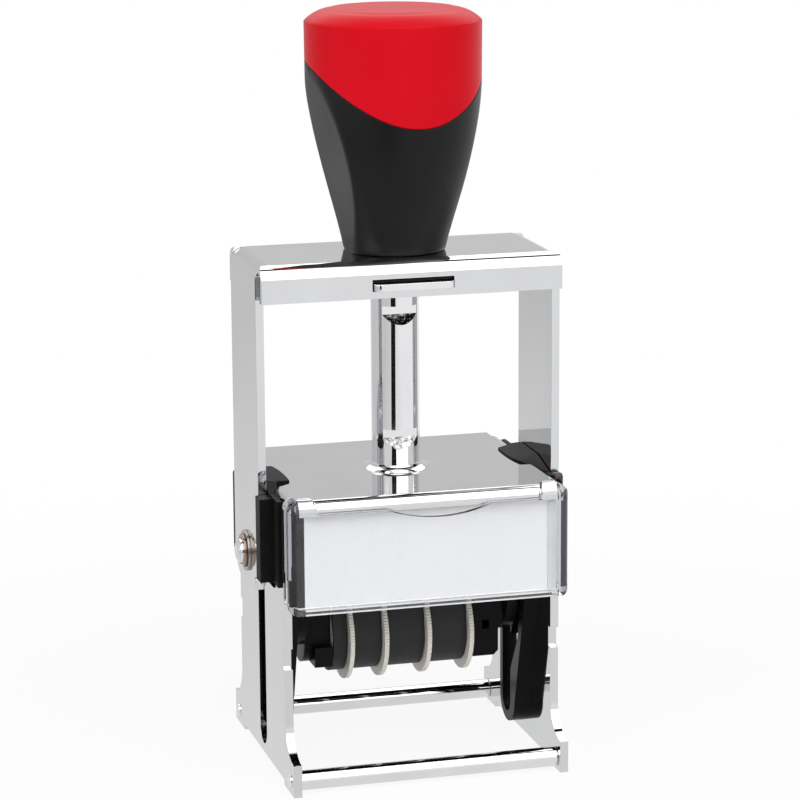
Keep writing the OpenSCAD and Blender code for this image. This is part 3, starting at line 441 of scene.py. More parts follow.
class PaintShelf:
    """Keeps one material for each finish."""

    _made: dict[Finish, bpy.types.Material] = {}

    @classmethod
    def take(cls, finish: Finish) -> bpy.types.Material:
        """Gives the material of a finish, made on first use.

        Args:
            finish: The finish.

        Returns:
            Its material.
        """
        if finish not in cls._made:
            cls._made[finish] = finish.value.material()
        return cls._made[finish]


@dataclass(frozen=True)
class SmallBlock:
    """Small detail with rounded edges, its corners and its rounding in millimetres."""

    name: str
    low: Point
    high: Point
    rounding: float
    finish: Finish
    slot: str


class Bench:
    """Turns bmeshes into dressed pieces on a body of the frame."""

    @staticmethod
    def place(
        bm: bmesh.types.BMesh, name: str, finish: Finish, body: Body, node: str | None, slot: str,
    ) -> bpy.types.Object:
        """Makes an object of a bmesh, dresses it and sets it on its body.

        Args:
            bm: The finished bmesh, freed here.
            name: Name of the piece.
            finish: Finish of the piece.
            body: Body that the piece rides on.
            node: CAD node that the piece stands for, or None.
            slot: Material slot of the record; not used.

        Returns:
            The new object.
        """
        mesh = bpy.data.meshes.new(name)
        bm.to_mesh(mesh)
        bm.free()
        for face in mesh.polygons:
            face.use_smooth = True
        if "custom_normal" in mesh.attributes:
            mesh.attributes.remove(mesh.attributes["custom_normal"])
        piece = bpy.data.objects.new(name, mesh)
        bpy.context.scene.collection.objects.link(piece)
        mesh.materials.append(PaintShelf.take(finish))
        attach(piece, body.value)
        if node is not None:
            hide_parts(node)
        LOG.info("piece %s on %s, %d faces", name, body.value, len(mesh.polygons))
        return piece

    @staticmethod
    def dress(node: str, finish: Finish) -> None:
        """Gives a CAD node its finish.

        Args:
            node: CAD node that stays as it is.
            finish: Its finish.
        """
        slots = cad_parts[node].data.materials
        slots.clear()
        slots.append(PaintShelf.take(finish))
        LOG.info("node %s dressed as %s", node, finish.name)

    @staticmethod
    def solid_copy(node: str) -> bmesh.types.BMesh:
        """Copies a node's mesh, merged, with its flat faces joined.

        Args:
            node: CAD node.

        Returns:
            A new bmesh.
        """
        bm = bmesh.new()
        bm.from_mesh(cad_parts[node].data)
        bmesh.ops.remove_doubles(bm, verts=bm.verts[:], dist=MERGE_GAP)
        bmesh.ops.dissolve_limit(
            bm, angle_limit=FLAT_TURN, use_dissolve_boundaries=False,
            verts=bm.verts[:], edges=bm.edges[:], delimit=set(),
        )
        for edge in bm.edges:
            edge.smooth = True
        return bm

    @staticmethod
    def cut(bm: bmesh.types.BMesh, place: Point, normal: Point) -> None:
        """Cuts new edges where a plane crosses a mesh.

        Args:
            bm: The mesh.
            place: Point on the plane.
            normal: Direction square to the plane, of any length.
        """
        geom = bm.verts[:] + bm.edges[:] + bm.faces[:]
        square = Vector(normal).normalized()
        bmesh.ops.bisect_plane(bm, geom=geom, dist=CUT_GAP, plane_co=place, plane_no=square)

    @classmethod
    def detail(cls, block: SmallBlock, body: Body, lift: float = 0.0) -> None:
        """Makes a small block and sets it on its body.

        Args:
            block: The block.
            body: Body that it rides on.
            lift: Height in metres that the block's heights are measured from.
        """
        low, high = (Vector((x * MM, y * MM, lift + z * MM)) for x, y, z in (block.low, block.high))
        size = high - low
        bm = bmesh.new()
        bmesh.ops.create_cube(bm, size=1.0)
        bmesh.ops.scale(bm, verts=bm.verts[:], vec=size)
        bmesh.ops.translate(bm, verts=bm.verts[:], vec=low + size / 2)
        bmesh.ops.bevel(
            bm, geom=bm.edges[:], offset=block.rounding * MM, offset_type="OFFSET", affect="EDGES",
            segments=BLOCK_SEGMENTS, profile=0.5, material=-1, clamp_overlap=True,
        )
        cls.place(bm, block.name, block.finish, body, None, block.slot)

    @staticmethod
    def second_finish(piece: bpy.types.Object, finish: Finish, chosen: Callable[[Vector], bool]) -> None:
        """Gives some faces of a piece another finish.

        Args:
            piece: The piece.
            finish: The other finish.
            chosen: Tells from a face's normal whether the face is meant.
        """
        piece.data.materials.append(PaintShelf.take(finish))
        for face in piece.data.polygons:
            if chosen(face.normal):
                face.material_index = len(piece.data.materials) - 1

    @classmethod
    def softened(
        cls, node: str, finish: Finish, body: Body, slot: str, width: float,
        segments: int = 2, flat: float = 30.0, cuts: tuple[Point, ...] = (),
    ) -> bpy.types.Object:
        """Replaces a node by a copy with rounded edges.

        Args:
            node: CAD node.
            finish: Finish of the piece.
            body: Body that the piece rides on.
            slot: Material slot of the record.
            width: Width of the rounding in metres.
            segments: Faces across the rounding.
            flat: Difference in area, in square millimetres, from which the larger face sets the
                shading of a corner.
            cuts: Points of planes that cut the faces, so that none runs round a slot. Each plane is
                square to the line from the origin to its point.

        Returns:
            The new piece.
        """
        bm = cls.solid_copy(node)
        for place in cuts:
            cls.cut(bm, place, place)
        sharp = [e for e in bm.edges if len(e.link_faces) == 2 and e.calc_face_angle(0.0) > SHARP_TURN]
        bmesh.ops.bevel(
            bm, geom=sharp, offset=width, offset_type="OFFSET", affect="EDGES",
            segments=segments, profile=0.5, material=-1, clamp_overlap=True, miter_outer="ARC",
        )
        piece = cls.place(bm, f"{node}_finished", finish, body, node, slot)
        normals = piece.modifiers.new("flat_faces_first", "WEIGHTED_NORMAL")
        normals.keep_sharp = True
        normals.weight = LARGE_FACE_WEIGHT
        normals.thresh = flat * MM * MM
        return piece


@dataclass
class PlatedBase:
    """Bent sheet of the base, the post, the rods and the black mouldings on them."""

    edge: float = 0.22 * MM
    post_edge: float = 0.06 * MM
    post_flat: float = 2.0
    notch_front: float = -0.3
    notch_rise: float = 0.2
    rod_edge: float = 0.25 * MM
    cam_edge: float = 0.25 * MM
    guide_edge: float = 0.35 * MM
    housing_edge: float = 0.2 * MM
    stroke: float = 38.0 * MM
    frame_cuts: tuple[Point, ...] = planes((OFF_MIDDLE, 9, -9), (21,))
    cam_cuts: tuple[Point, ...] = planes((OFF_MIDDLE, 4.3, -4.3), (18, 22, 33, 37))
    details: tuple[SmallBlock, ...] = (
        SmallBlock(
            "guide_clip", (-34.3, -14.0, 41.5), (-32.4, -12.2, 43.8), 0.2, Finish.PLATED, "chrome"),
        SmallBlock(
            "guide_nub", (30.9, -14.3, 57.5), (33.3, -12.1, 62.1), 0.8, Finish.NUB_BROWN, "black_plastic"),
        SmallBlock(
            "guide_fin", (-30.3, -22.4, 45.0), (-29.95, -20.5, 60.6), 0.1, Finish.BLACK, "black_plastic"),
    )

    def build(self) -> None:
        """Softens and dresses the pieces of the base."""
        Bench.softened(
            "base_frame", Finish.PLATED, Body.BASE, "chrome", self.edge, segments=3,
            cuts=self.frame_cuts)
        post = Bench.softened(
            "guide_post", Finish.ROUND_PLATED, Body.BASE, "chrome", self.post_edge, flat=self.post_flat)
        # The notch faces get the milled finish with painted reflection
        Bench.second_finish(post, Finish.MILLED_PAINTED_REFLECTION, self.in_notch)
        for node in ("front_rod", "rear_rod"):
            Bench.softened(node, Finish.ROUND_PLATED, Body.BASE, "chrome", self.rod_edge)
        for node in ("cam_plate_left", "cam_plate_right"):
            Bench.softened(
                node, Finish.BLACK, Body.BASE, "black_plastic", self.cam_edge, cuts=self.cam_cuts)
        for node in ("side_guide_left", "side_guide_right"):
            Bench.softened(node, Finish.GUIDE_BLACK, Body.BASE, "black_plastic", self.guide_edge)
        Bench.softened("pad_housing", Finish.BLACK, Body.BASE, "black_plastic", self.housing_edge)
        self.spring()
        for block in self.details:
            Bench.detail(block, Body.BASE)

    def in_notch(self, normal: Vector) -> bool:
        """Tells whether a face of the post looks up and forward out of a notch."""
        return normal.y < self.notch_front and normal.z > self.notch_rise

    def spring(self) -> None:
        """Replaces the coil by a dressed copy with a mesh of its own."""
        coil = Bench.solid_copy("return_spring")
        spring = Bench.place(
            coil, "return_spring_finished", Finish.STEEL, Body.BASE, "return_spring", "steel")
        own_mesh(spring)


@dataclass
class CardWindow:
    """Clear cover, the card behind it, a grey strip of painted shade at the card's end and dark strips of
    painted shade at the cover's ends.
    """

    edge: float = 0.4 * MM
    half_w: float = 30.2 * MM
    front_y: float = -28.0 * MM
    corner_r: float = 2.0 * MM
    corner_step: int = 15
    details: tuple[SmallBlock, ...] = (
        # Painted shade: grey strip where the card is seen through the cover's thick corner
        SmallBlock(
            "card_shade_strip", (26.1, -25.3, 39.7), (28.0, -25.05, 59.4), 0.05, Finish.CARD_STRIP_SHADE, "clear_plastic"),
        # Painted shade: dark strips where the cover's clear side walls look dark
        SmallBlock(
            "cover_wall_shade_right", (28.1, -23.98, 40.3), (30.15, -23.6, 59.0), 0.1, Finish.SLATE_SHADE, "black_plastic"),
        SmallBlock(
            "cover_wall_shade_left", (-29.1, -23.98, 40.3), (-28.5, -23.6, 46.0), 0.1,
            Finish.BLACK, "black_plastic"),
    )

    def build(self) -> None:
        """Models the cover and its details and dresses the card."""
        cover = Bench.softened(
            "window_cover", Finish.CLEAR, Body.BASE, "clear_plastic", self.edge, segments=3)
        self.round_corners(cover)
        Bench.dress("index_card", Finish.CARD)
        for block in self.details:
            Bench.detail(block, Body.BASE)

    def round_corners(self, cover: bpy.types.Object) -> None:
        """Draws the upright front edges in to one radius from the foot to the ears.

        Args:
            cover: The clear cover.
        """
        mesh = cover.data
        bm = bmesh.new()
        bm.from_mesh(mesh)
        for turn in range(0, 90, self.corner_step):
            step = self.corner_r * (1 - math.cos(math.radians(turn)))
            for side in (-1, 1):
                Bench.cut(bm, (side * (self.half_w - self.corner_r + step), 0, 0), (1, 0, 0))
            Bench.cut(bm, (0, self.front_y + self.corner_r - step, 0), (0, 1, 0))
        for vert in bm.verts:
            side = math.copysign(1.0, vert.co.x)
            middle = Vector((side * (self.half_w - self.corner_r), self.front_y + self.corner_r, vert.co.z))
            away = vert.co - middle
            if side * away.x > 0 > away.y and away.length > self.corner_r:
                vert.co = middle + away.normalized() * self.corner_r
        bm.to_mesh(mesh)
        bm.free()


@dataclass
class PadDrawer:
    """Tray and felt of the ink pad."""

    edge: float = 0.25 * MM
    felt_edge: float = 0.6 * MM

    def build(self) -> None:
        """Softens and dresses the tray and the felt."""
        Bench.softened("pad_tray", Finish.BLACK, Body.DRAWER, "black_plastic", self.edge, cuts=CROSS)
        Bench.softened("ink_pad", Finish.FELT, Body.DRAWER, "felt", self.felt_edge, segments=3)


@dataclass
class SprungBridge:
    """Bent sheet bridge with its lock, pins and small parts."""

    edge: float = 0.12 * MM
    block_edge: float = 0.25 * MM
    pin_edge: float = 0.25 * MM
    washer_edge: float = 0.12 * MM
    clip_edge: float = 0.1 * MM
    lock_edge: float = 0.08 * MM
    # Black plate behind the lock slot: painted shade where the slot's inside lies in shadow
    shade: SmallBlock = SmallBlock(
        "slot_shade", (-8.75, -14.7, 1.6), (8.75, -13.6, 2.28), 0.05, Finish.BLACK, "black_plastic")

    def build(self) -> None:
        """Softens and dresses the pieces of the bridge."""
        Bench.softened("bridge_yoke", Finish.PLATED, Body.BRIDGE, "chrome", self.edge, segments=3)
        Bench.softened("lock_block", Finish.BLACK, Body.BRIDGE, "black_plastic", self.block_edge)
        Bench.softened(
            "trunnion_pins", Finish.ROUND_PLATED, Body.BRIDGE, "steel", self.pin_edge, segments=3)
        Bench.softened("trunnion_washers", Finish.STEEL, Body.BRIDGE, "steel", self.washer_edge)
        Bench.softened("retaining_clips", Finish.BRONZE_PAINTED_DARK, Body.BRIDGE, "steel", self.clip_edge)
        Bench.dress("slide_bushes", Finish.BUSH)
        for node in ("handle_screws", "spring_spindle", "spindle_screw"):
            Bench.dress(node, Finish.STEEL)
        Bench.softened("lock_slide", Finish.ROUND_PLATED, Body.LOCK, "chrome", self.lock_edge, cuts=CROSS)
        Bench.detail(self.shade, Body.BRIDGE, lift=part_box("lock_slide")[0][2])


@dataclass
class KnobHandle:
    """Black grip and red cap as smooth turned forms with flattened sides and a slanting seam.

    Heights are over the top of the bridge. Rims are pairs of an inset and a height or drop.
    """

    foot_r: float = 10.8 * MM
    foot_rim: tuple[tuple[float, float], ...] = ((0.35 * MM, 0.0), (0.1 * MM, 0.1 * MM))
    foot_skin_z: float = 0.4 * MM
    flare_z: float = 10.0 * MM
    flare_out: float = 2.4 * MM
    belly_z: float = 16.0 * MM
    wide_r: float = 18.55 * MM
    wide_z: float = 36.0 * MM
    swell: float = 0.1 * MM
    facet_foot_in: float = 0.6 * MM
    facet_mid_in: float = 4.5 * MM
    facet_mid_z: float = 24.0 * MM
    facet_top_z: float = 38.0 * MM
    facet_clear: float = 2.0 * MM
    facet_soft: float = 0.5 * MM
    shoulder_z: float = 48.2 * MM
    crown_r: float = 13.8 * MM
    crown_edge: float = 0.3 * MM
    crown_in: float = 2.2 * MM
    crown_start: float = 0.08
    crown_fall: float = 0.86
    crown_pace: float = 1.5
    crown_rim: tuple[tuple[float, float], ...] = (
        (0.25 * MM, 0.2 * MM), (0.7 * MM, 0.06 * MM), (2.0 * MM, 0.02 * MM))
    top_z: float = 51.0 * MM
    seam_front_z: float = 27.4 * MM
    seam_slope: float = 0.28
    seam_r: float = 18.3 * MM
    seam_bow: float = 20.0
    core_r: float = 16.35 * MM
    core_top: float = 48.5 * MM
    cap_gap: float = 0.1 * MM
    cap_inner: float = 0.12 * MM
    bore_r: float = 5.45 * MM
    bore_top: float = 44.5 * MM
    bore_wall: float = 1.0 * MM
    spindle_r: float = 1.75 * MM
    groove: float = 0.22 * MM
    turned: float = math.radians(3.8)
    sharp_turn: float = math.radians(38)
    steps: int = 160
    grip_rings: int = 26
    cap_rings: int = 16
    crown_rings: int = 18
    curve_tries: int = 30
    near: float = 0.01 * MM
    merge_gap: float = 0.001 * MM
    base_z: float = 0.0

    def build(self) -> None:
        """Models grip and cap in place of their solids."""
        self.base_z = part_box("handle_grip")[0][2]
        self.turn(self.grip_profile(), "handle_grip", Finish.GRIP_BLACK, "black_plastic", self.fit_grip)
        self.turn(self.cap_profile(), "handle_cap", Finish.CAP_RED, "red_plastic", self.fit_cap)

    @staticmethod
    def bend(points: Outline, t: float) -> tuple[float, float]:
        """Finds a point on a curve with four control points.

        Args:
            points: Control points (radius, height).
            t: Place along the curve, 0 to 1.

        Returns:
            Radius and height.
        """
        weights = ((1 - t) ** 3, 3 * (1 - t) ** 2 * t, 3 * (1 - t) * t * t, t ** 3)
        return (
            sum(w * p[0] for w, p in zip(weights, points)),
            sum(w * p[1] for w, p in zip(weights, points)),
        )

    def at_height(self, points: Outline, z: float) -> float:
        """Finds the radius of a rising curve at a height.

        Args:
            points: Control points (radius, height).
            z: Height.

        Returns:
            Radius there.
        """
        low, high = 0.0, 1.0
        for _ in range(self.curve_tries):
            mid = (low + high) / 2
            if self.bend(points, mid)[1] < z:
                low = mid
            else:
                high = mid
        return self.bend(points, low)[0]

    def radius(self, z: float) -> float:
        """Finds the outer radius of the handle up to the shoulder.

        Args:
            z: Height.

        Returns:
            Radius there.
        """
        if z >= self.wide_z:
            return self.wide_r + self.swell * (z - self.wide_z) / (self.shoulder_z - self.wide_z)
        curve = [
            (self.foot_r, 0.0), (self.foot_r + self.flare_out, self.flare_z),
            (self.wide_r - self.swell, self.belly_z), (self.wide_r, self.wide_z),
        ]
        return self.at_height(curve, max(z, 0.0))

    def half_width(self, z: float) -> float:
        """Finds the half width over the flattened sides.

        Args:
            z: Height.

        Returns:
            Half width there.
        """
        if z >= self.facet_top_z:
            return self.wide_r + self.facet_clear
        curve = [
            (self.foot_r - self.facet_foot_in, 0.0), (self.foot_r, self.flare_z),
            (self.wide_r - self.facet_mid_in, self.facet_mid_z),
            (self.wide_r + self.swell, self.facet_top_z),
        ]
        return self.at_height(curve, max(z, 0.0))

    def seam(self, turn: float) -> float:
        """Finds the height of the seam round the handle.

        Args:
            turn: Angle round the handle.

        Returns:
            Height there.
        """
        x = self.seam_r * math.cos(turn)
        y = self.seam_r * math.sin(turn)
        tilt = math.atan(self.seam_slope)
        rise = self.seam_slope * (y + self.wide_r)
        return self.seam_front_z + rise + self.seam_bow * x * x / math.cos(tilt)

    def grip_profile(self) -> Outline:
        """Draws the grip with its bore and core.

        Returns:
            Closed outline of (radius, height).
        """
        seam = self.seam_front_z
        skin = [seam * i / self.grip_rings for i in range(1, self.grip_rings)]
        return [
            (self.bore_r, 0.0),
            *[(self.foot_r - inset, z) for inset, z in self.foot_rim],
            *[(self.radius(z), z) for z in (self.foot_skin_z, *skin)],
            (self.radius(seam - self.groove), seam - self.groove),
            (self.radius(seam) - self.groove, seam),
            (self.core_r, seam),
            (self.core_r, self.core_top),
            (self.spindle_r, self.core_top),
            (self.spindle_r, self.bore_top),
            (self.bore_r, self.bore_top),
        ]

    def cap_profile(self) -> Outline:
        """Draws the cap from the axis inside to the axis outside.

        Returns:
            Open outline of (radius, height).
        """
        seam = self.seam_front_z
        inner = self.core_r + self.cap_gap
        ceiling = self.core_top + self.cap_gap
        rise = self.shoulder_z - seam
        skin = [seam + rise * i / self.cap_rings for i in range(1, self.cap_rings)]
        drop = self.top_z - self.shoulder_z
        crown = [
            (self.wide_r + self.swell, self.shoulder_z),
            (self.wide_r + self.swell, self.shoulder_z + self.crown_start * drop),
            (self.wide_r - self.crown_in, self.shoulder_z + self.crown_fall * drop),
            (self.crown_r, self.top_z - self.crown_edge),
        ]
        rings = self.crown_rings
        return [
            (0.0, ceiling),
            (inner, ceiling),
            (inner, seam),
            (self.radius(seam) - self.groove, seam),
            (self.radius(seam + self.groove), seam + self.groove),
            *[(self.radius(z), z) for z in skin],
            *[self.bend(crown, (i / rings) ** self.crown_pace) for i in range(rings + 1)],
            *[(self.crown_r - inset, self.top_z - below) for inset, below in self.crown_rim],
            (0.0, self.top_z),
        ]

    def flatten(self, place: Vector) -> None:
        """Draws a skin point in to the flattened sides, with a soft edge.

        Args:
            place: Point over the bridge, changed here.
        """
        soft = self.facet_soft
        limit = self.half_width(place.z)
        wide = abs(place.x)
        blend = min(1.0, max(0.0, 0.5 + 0.5 * (limit - wide) / soft))
        drawn = limit * (1 - blend) + wide * blend - soft * blend * (1 - blend)
        place.x = math.copysign(min(wide, drawn), place.x)

    def refit(self, place: Vector, z: float, on_skin: bool) -> None:
        """Moves a point to a new height, keeping a skin point on the skin.

        Args:
            place: Point over the bridge, changed here.
            z: New height.
            on_skin: Whether the point follows the outer radius.
        """
        if on_skin:
            old = math.hypot(place.x, place.y)
            new = old + self.radius(z) - self.radius(place.z)
            place.x *= new / old
            place.y *= new / old
        place.z = z
        if on_skin:
            self.flatten(place)

    def fit_grip(self, place: Vector) -> None:
        """Fits a point of the turned grip to the slanting seam.

        Args:
            place: Point over the bridge, changed here.
        """
        span = math.hypot(place.x, place.y)
        if span < self.bore_r + self.bore_wall or place.z > self.seam_front_z + self.near:
            return
        seam = self.seam(math.atan2(place.y, place.x))
        on_skin = not (place.z > self.seam_front_z - self.near and span < self.core_r + self.near)
        self.refit(place, place.z * seam / self.seam_front_z, on_skin)

    def fit_cap(self, place: Vector) -> None:
        """Fits a point of the turned cap to the slanting seam.

        Args:
            place: Point over the bridge, changed here.
        """
        span = math.hypot(place.x, place.y)
        inner = self.core_r + self.cap_inner
        if place.z >= self.shoulder_z - self.near:
            return
        if span < inner and place.z > self.seam_front_z + self.near:
            return
        seam = self.seam(math.atan2(place.y, place.x))
        part = (place.z - self.seam_front_z) / (self.shoulder_z - self.seam_front_z)
        self.refit(place, seam + part * (self.shoulder_z - seam), span > inner)

    def turn(
        self, profile: Outline, node: str, finish: Finish, slot: str, fit: Callable[[Vector], None],
    ) -> None:
        """Spins a profile, fits its points and places the piece.

        Args:
            profile: Outline of (radius, height), closed here unless it starts on the axis.
            node: CAD node that the piece stands for.
            finish: Finish of the piece.
            slot: Material slot of the record.
            fit: Method that moves one point.
        """
        bm = bmesh.new()
        verts = [bm.verts.new((r, 0.0, z)) for r, z in profile]
        edges = [bm.edges.new(pair) for pair in zip(verts, verts[1:])]
        if profile[0][0] > 0.0:
            edges.append(bm.edges.new((verts[-1], verts[0])))
        bmesh.ops.spin(
            bm, geom=verts + edges, cent=(0, 0, 0), axis=(0, 0, 1), angle=math.tau,
            steps=self.steps, use_merge=True, use_normal_flip=False,
        )
        bmesh.ops.remove_doubles(bm, verts=bm.verts[:], dist=self.merge_gap)
        bmesh.ops.recalc_face_normals(bm, faces=bm.faces[:])
        for vert in bm.verts:
            fit(vert.co)
        spun = Matrix.Rotation(self.turned, 3, "Z")
        bmesh.ops.rotate(bm, verts=bm.verts[:], cent=(0, 0, 0), matrix=spun)
        bmesh.ops.translate(bm, verts=bm.verts[:], vec=(0.0, 0.0, self.base_z))
        piece = Bench.place(bm, f"{node}_turned", finish, Body.BRIDGE, node, slot)
        piece.data.set_sharp_from_angle(angle=self.sharp_turn)


@dataclass
class FlipCarriage:
    """Carriage with its die, bands and the parts that carry the date wheels."""

    edge: float = 0.3 * MM
    die_edge: float = 0.25 * MM
    axle_edge: float = 0.2 * MM
    band_edge: float = 0.18 * MM
    bands: int = 4

    def build(self) -> None:
        """Softens and dresses the pieces of the carriage."""
        for node in ("carriage_frame", "band_cheek_left", "band_cheek_right", "type_bar"):
            Bench.softened(node, Finish.BLACK, Body.CARRIAGE, "black_plastic", self.edge, cuts=CROSS)
        Bench.softened("text_plate", Finish.DIE, Body.CARRIAGE, "die_rubber", self.die_edge, cuts=CROSS)
        for node in ("wheel_axle", "follower_pegs"):
            Bench.softened(node, Finish.STEEL, Body.CARRIAGE, "steel", self.axle_edge)
        for i in range(1, self.bands + 1):
            Bench.softened(f"date_band_{i}", Finish.BAND, Body.CARRIAGE, "band_rubber", self.band_edge)


@dataclass
class DateWheels:
    """Four thumb wheels with toothed rims."""

    edge: float = 0.1 * MM

    def build(self) -> None:
        """Softens and dresses the wheels."""
        bodies = (Body.WHEEL_1, Body.WHEEL_2, Body.WHEEL_3, Body.WHEEL_4)
        for i, body in enumerate(bodies, start=1):
            Bench.softened(f"date_wheel_{i}", Finish.IVORY, body, "ivory_plastic", self.edge)


@dataclass(frozen=True)
class SoftLamp:
    """Soft panel that faces the stamp, in metres and watts.

    A lamp that isn't matt is only mirrored, and lights no matt surface.
    """

    name: str
    place: Point
    size: tuple[float, float]
    power: float
    matt: bool = True


@dataclass(frozen=True)
class DarkCard:
    """Dark card that only the bright metal shows, in metres.

    Its azimuth is measured as the camera's. It stands upright, or lies at the height over, if that isn't 0.
    """

    name: str
    azimuth: float
    away: float
    size: tuple[float, float]
    over: float = 0.0


@dataclass
class Studio:
    """Pale floor, soft light and the camera at the photograph's viewing angle."""

    azimuth: float = math.radians(-15.139)
    elevation: float = math.radians(12.399)
    roll: float = math.radians(-0.368)
    distance: float = 674.6 * MM
    target: Point = (1.02 * MM, 0.0, 77.1 * MM)
    lens: float = 141.84
    sensor: float = 36.0
    clip: tuple[float, float] = (0.05, 20.0)
    ambient: float = 0.46
    least_tone: float = 0.66
    sky_tone: float = 0.89
    sky_slope: Point = (0.0, 0.21, 0.12)
    floor_tone: float = 0.855
    floor_slope: Point = (-0.64, 0.22, 0.0)
    floor_half: float = 6.0
    floor_drop: float = 0.02 * MM
    floor_colour: Colour = grey(0.86)
    shadow_reach: tuple[float, float] = (0.08, 0.26)
    shadow_glow: float = 0.9
    cloth_colour: Colour = grey(0.02)
    lamp_aim: Point = (0.0, 0.0, 0.08)
    lamps: tuple[SoftLamp, ...] = (
        SoftLamp("front_panel", (0.13, -0.485, 0.652), (1.0, 1.16), 5.0),
        SoftLamp("rear_panel", (0.143, 0.454, 0.679), (1.0, 0.84), 3.65, matt=False),
        SoftLamp("side_box", (-0.8, -0.35, 0.55), (0.5, 0.5), 2.6),
    )
    cards: tuple[DarkCard, ...] = (
        DarkCard("dark_flag", azimuth - math.radians(7.4), 0.31, (0.13, 0.15)),
        DarkCard("top_flag", math.pi, 0.04, (1.6, 0.22), over=0.9),
    )

    def build(self) -> None:
        """Sets up the camera, the world, the floor, the lamps and the dark cards."""
        self.camera()
        self.world()
        self.floor()
        for lamp in self.lamps:
            self.light(lamp)
        for card in self.cards:
            self.darken(card)
        bpy.context.scene.view_settings.view_transform = "Standard"

    def camera(self) -> None:
        """Adds the camera."""
        data = bpy.data.cameras.new("photo_camera")
        data.sensor_width = self.sensor
        data.lens = self.lens
        data.clip_start, data.clip_end = self.clip
        back = Vector((
            math.sin(self.azimuth) * math.cos(self.elevation),
            -math.cos(self.azimuth) * math.cos(self.elevation),
            math.sin(self.elevation),
        ))
        right = (-back).cross(Vector((0, 0, 1))).normalized()
        up = right.cross(-back)
        across = math.cos(self.roll) * right + math.sin(self.roll) * up
        above = -math.sin(self.roll) * right + math.cos(self.roll) * up
        turn = Matrix((across, above, back)).transposed().to_4x4()
        camera = bpy.data.objects.new("photo_camera", data)
        camera.matrix_world = Matrix.Translation(Vector(self.target) + self.distance * back) @ turn
        bpy.context.scene.collection.objects.link(camera)
        bpy.context.scene.camera = camera

    def world(self) -> None:
        """Sets a white surround that lights the stamp at a plain level."""
        world = bpy.data.worlds.new("studio")
        bpy.context.scene.world = world
        bench = NodeBench(world, "ShaderNodeOutputWorld")
        ambient = bench.add("ShaderNodeBackground", Color=grey(1.0), Strength=self.ambient)
        seen = bench.add("ShaderNodeBackground", Strength=1.0)
        tone = self.fall_off(bench, "Generated", self.sky_slope, self.sky_tone)
        bench.link(tone, "Result", seen, "Color")
        mix = bench.add("ShaderNodeMixShader")
        bench.link(self.seen_rays(bench), "Value", mix, "Fac")
        bench.link(ambient, "Background", mix, 1)
        bench.link(seen, "Background", mix, 2)
        bench.done(mix, "Shader")

    def fall_off(self, bench: NodeBench, place: str, slope: Point, middle: float) -> bpy.types.Node:
        """Adds a pale tone that falls off along a direction, grey at least, and white to the camera.

        Args:
            bench: Nodes of the world or the floor.
            place: Coordinate that is read.
            slope: Fall of the tone for each unit of the coordinate.
            middle: Tone at the origin.

        Returns:
            Node whose Result is the tone.
        """
        along = bench.add("ShaderNodeVectorMath", operation="DOT_PRODUCT")
        along.inputs[1].default_value = slope
        bench.link(bench.coords(), place, along, 0)
        tone = bench.add("ShaderNodeMath", operation="SUBTRACT", Value=middle)
        bench.link(along, "Value", tone, 1)
        white = bench.add("ShaderNodeMath", operation="MAXIMUM")
        bench.link(tone, "Value", white, 0)
        bench.link(bench.add("ShaderNodeLightPath"), "Is Camera Ray", white, 1)
        held = bench.add("ShaderNodeClamp", Min=self.least_tone)
        bench.link(white, "Value", held, "Value")
        return held

    @staticmethod
    def seen_rays(bench: NodeBench) -> bpy.types.Node:
        """Adds the nodes that tell camera, glossy and transmitted rays from the rest.

        Args:
            bench: Nodes of the world or the floor.

        Returns:
            Node whose Value is 1 for those rays.
        """
        path = bench.add("ShaderNodeLightPath")
        first = bench.add("ShaderNodeMath", operation="MAXIMUM")
        second = bench.add("ShaderNodeMath", operation="MAXIMUM")
        bench.link(path, "Is Camera Ray", first, 0)
        bench.link(path, "Is Glossy Ray", first, 1)
        bench.link(first, "Value", second, 0)
        bench.link(path, "Is Transmission Ray", second, 1)
        return second

    @staticmethod
    def stage_piece(bm: bmesh.types.BMesh, name: str, material: bpy.types.Material) -> bpy.types.Object:
        """Makes an object of the stage, which isn't part of the stamp.

        Args:
            bm: The finished bmesh, freed here.
            name: Name of the object.
            material: Its material.

        Returns:
            The new object.
        """
        mesh = bpy.data.meshes.new(name)
        bm.to_mesh(mesh)
        bm.free()
        mesh.materials.append(material)
        piece = bpy.data.objects.new(name, mesh)
        bpy.context.scene.collection.objects.link(piece)
        return piece

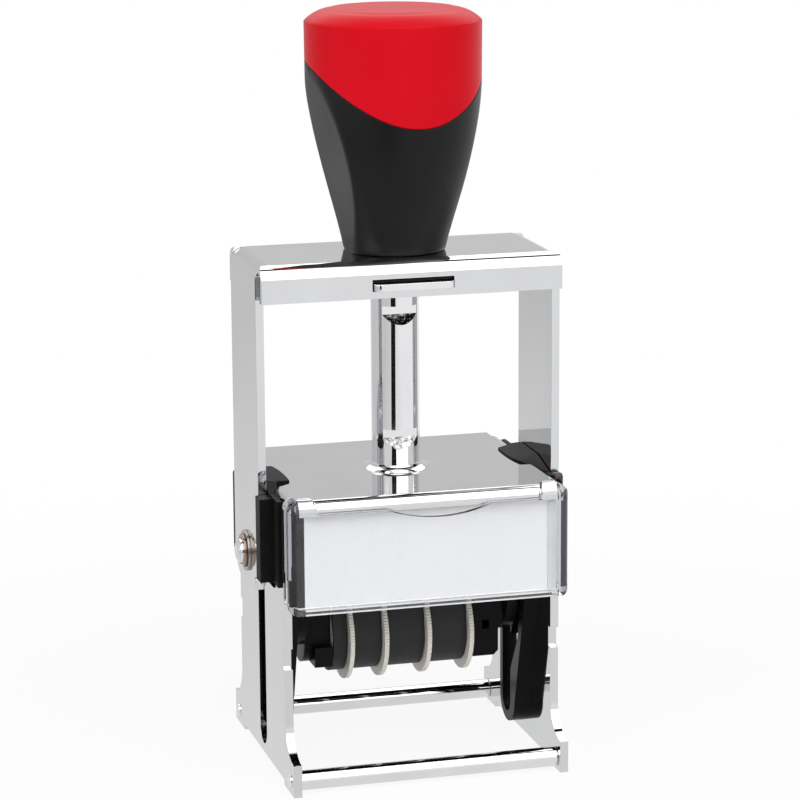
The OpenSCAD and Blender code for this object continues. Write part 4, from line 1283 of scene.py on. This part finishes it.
    def floor(self) -> None:
        """Lays a pale floor that goes white away from the shadow."""
        bm = bmesh.new()
        bmesh.ops.create_grid(bm, x_segments=1, y_segments=1, size=self.floor_half)
        bmesh.ops.translate(bm, verts=bm.verts[:], vec=(0.0, 0.0, -self.floor_drop))
        bench = NodeBench(bpy.data.materials.new("pale_floor"))
        matt = bench.add("ShaderNodeBsdfDiffuse", Color=self.floor_colour)
        glow = bench.add("ShaderNodeEmission", Strength=1.0)
        tone = self.fall_off(bench, "Object", self.floor_slope, self.floor_tone)
        bench.link(tone, "Result", glow, "Color")
        away = bench.add("ShaderNodeVectorMath", operation="LENGTH")
        bench.link(bench.coords(), "Object", away, "Vector")
        near, far = self.shadow_reach
        reach = bench.add(
            "ShaderNodeMapRange", interpolation_type="SMOOTHSTEP",
            From_Min=near, From_Max=far, To_Min=self.shadow_glow, To_Max=1.0,
        )
        bench.link(away, "Value", reach, "Value")
        share = bench.add("ShaderNodeMath", operation="MULTIPLY")
        bench.link(reach, "Result", share, 0)
        bench.link(self.seen_rays(bench), "Value", share, 1)
        mix = bench.add("ShaderNodeMixShader")
        bench.link(share, "Value", mix, "Fac")
        bench.link(matt, "BSDF", mix, 1)
        bench.link(glow, "Emission", mix, 2)
        self.stage_piece(bm, "studio_floor", bench.done(mix, "Shader"))

    def darken(self, card: DarkCard) -> None:
        """Sets up a dark card.

        Args:
            card: The card.
        """
        width, height = card.size
        tip = Matrix.Rotation(0.0 if card.over else math.pi / 2, 3, "X")
        turn = Matrix.Rotation(card.azimuth, 3, "Z")
        bm = bmesh.new()
        bmesh.ops.create_grid(bm, x_segments=1, y_segments=1, size=0.5)
        bmesh.ops.scale(bm, verts=bm.verts[:], vec=(width, height, 1.0))
        bmesh.ops.rotate(bm, verts=bm.verts[:], cent=(0, 0, 0), matrix=tip)
        bmesh.ops.rotate(bm, verts=bm.verts[:], cent=(0, 0, 0), matrix=turn)
        x, y = card.away * math.sin(card.azimuth), -card.away * math.cos(card.azimuth)
        bmesh.ops.translate(bm, verts=bm.verts[:], vec=(x, y, card.over or height / 2))
        bench = NodeBench(bpy.data.materials.new("dark_cloth"))
        matt = bench.add("ShaderNodeBsdfDiffuse", Color=self.cloth_colour)
        piece = self.stage_piece(bm, card.name, bench.done(matt))
        for rays in ("camera", "diffuse", "transmission", "shadow"):
            setattr(piece, f"visible_{rays}", False)

    def light(self, lamp: SoftLamp) -> None:
        """Adds a lamp.

        Args:
            lamp: The lamp.
        """
        data = bpy.data.lights.new(lamp.name, "AREA")
        data.shape = "RECTANGLE"
        data.size, data.size_y = lamp.size
        data.energy = lamp.power
        panel = bpy.data.objects.new(lamp.name, data)
        panel.location = lamp.place
        panel.visible_diffuse = lamp.matt
        aim = Vector(self.lamp_aim) - Vector(lamp.place)
        panel.rotation_euler = aim.to_track_quat("-Z", "Y").to_euler()
        bpy.context.scene.collection.objects.link(panel)


def main() -> None:
    """Builds and dresses the stamp, then the studio."""
    logging.basicConfig(level=logging.INFO, format="%(name)s: %(message)s")
    parts = (
        PlatedBase(), CardWindow(), PadDrawer(), SprungBridge(), KnobHandle(), FlipCarriage(), DateWheels(),
    )
    for part in parts:
        part.build()
        LOG.info("%s done", type(part).__name__)
    Studio().build()


if __name__ == "__main__":
    main()
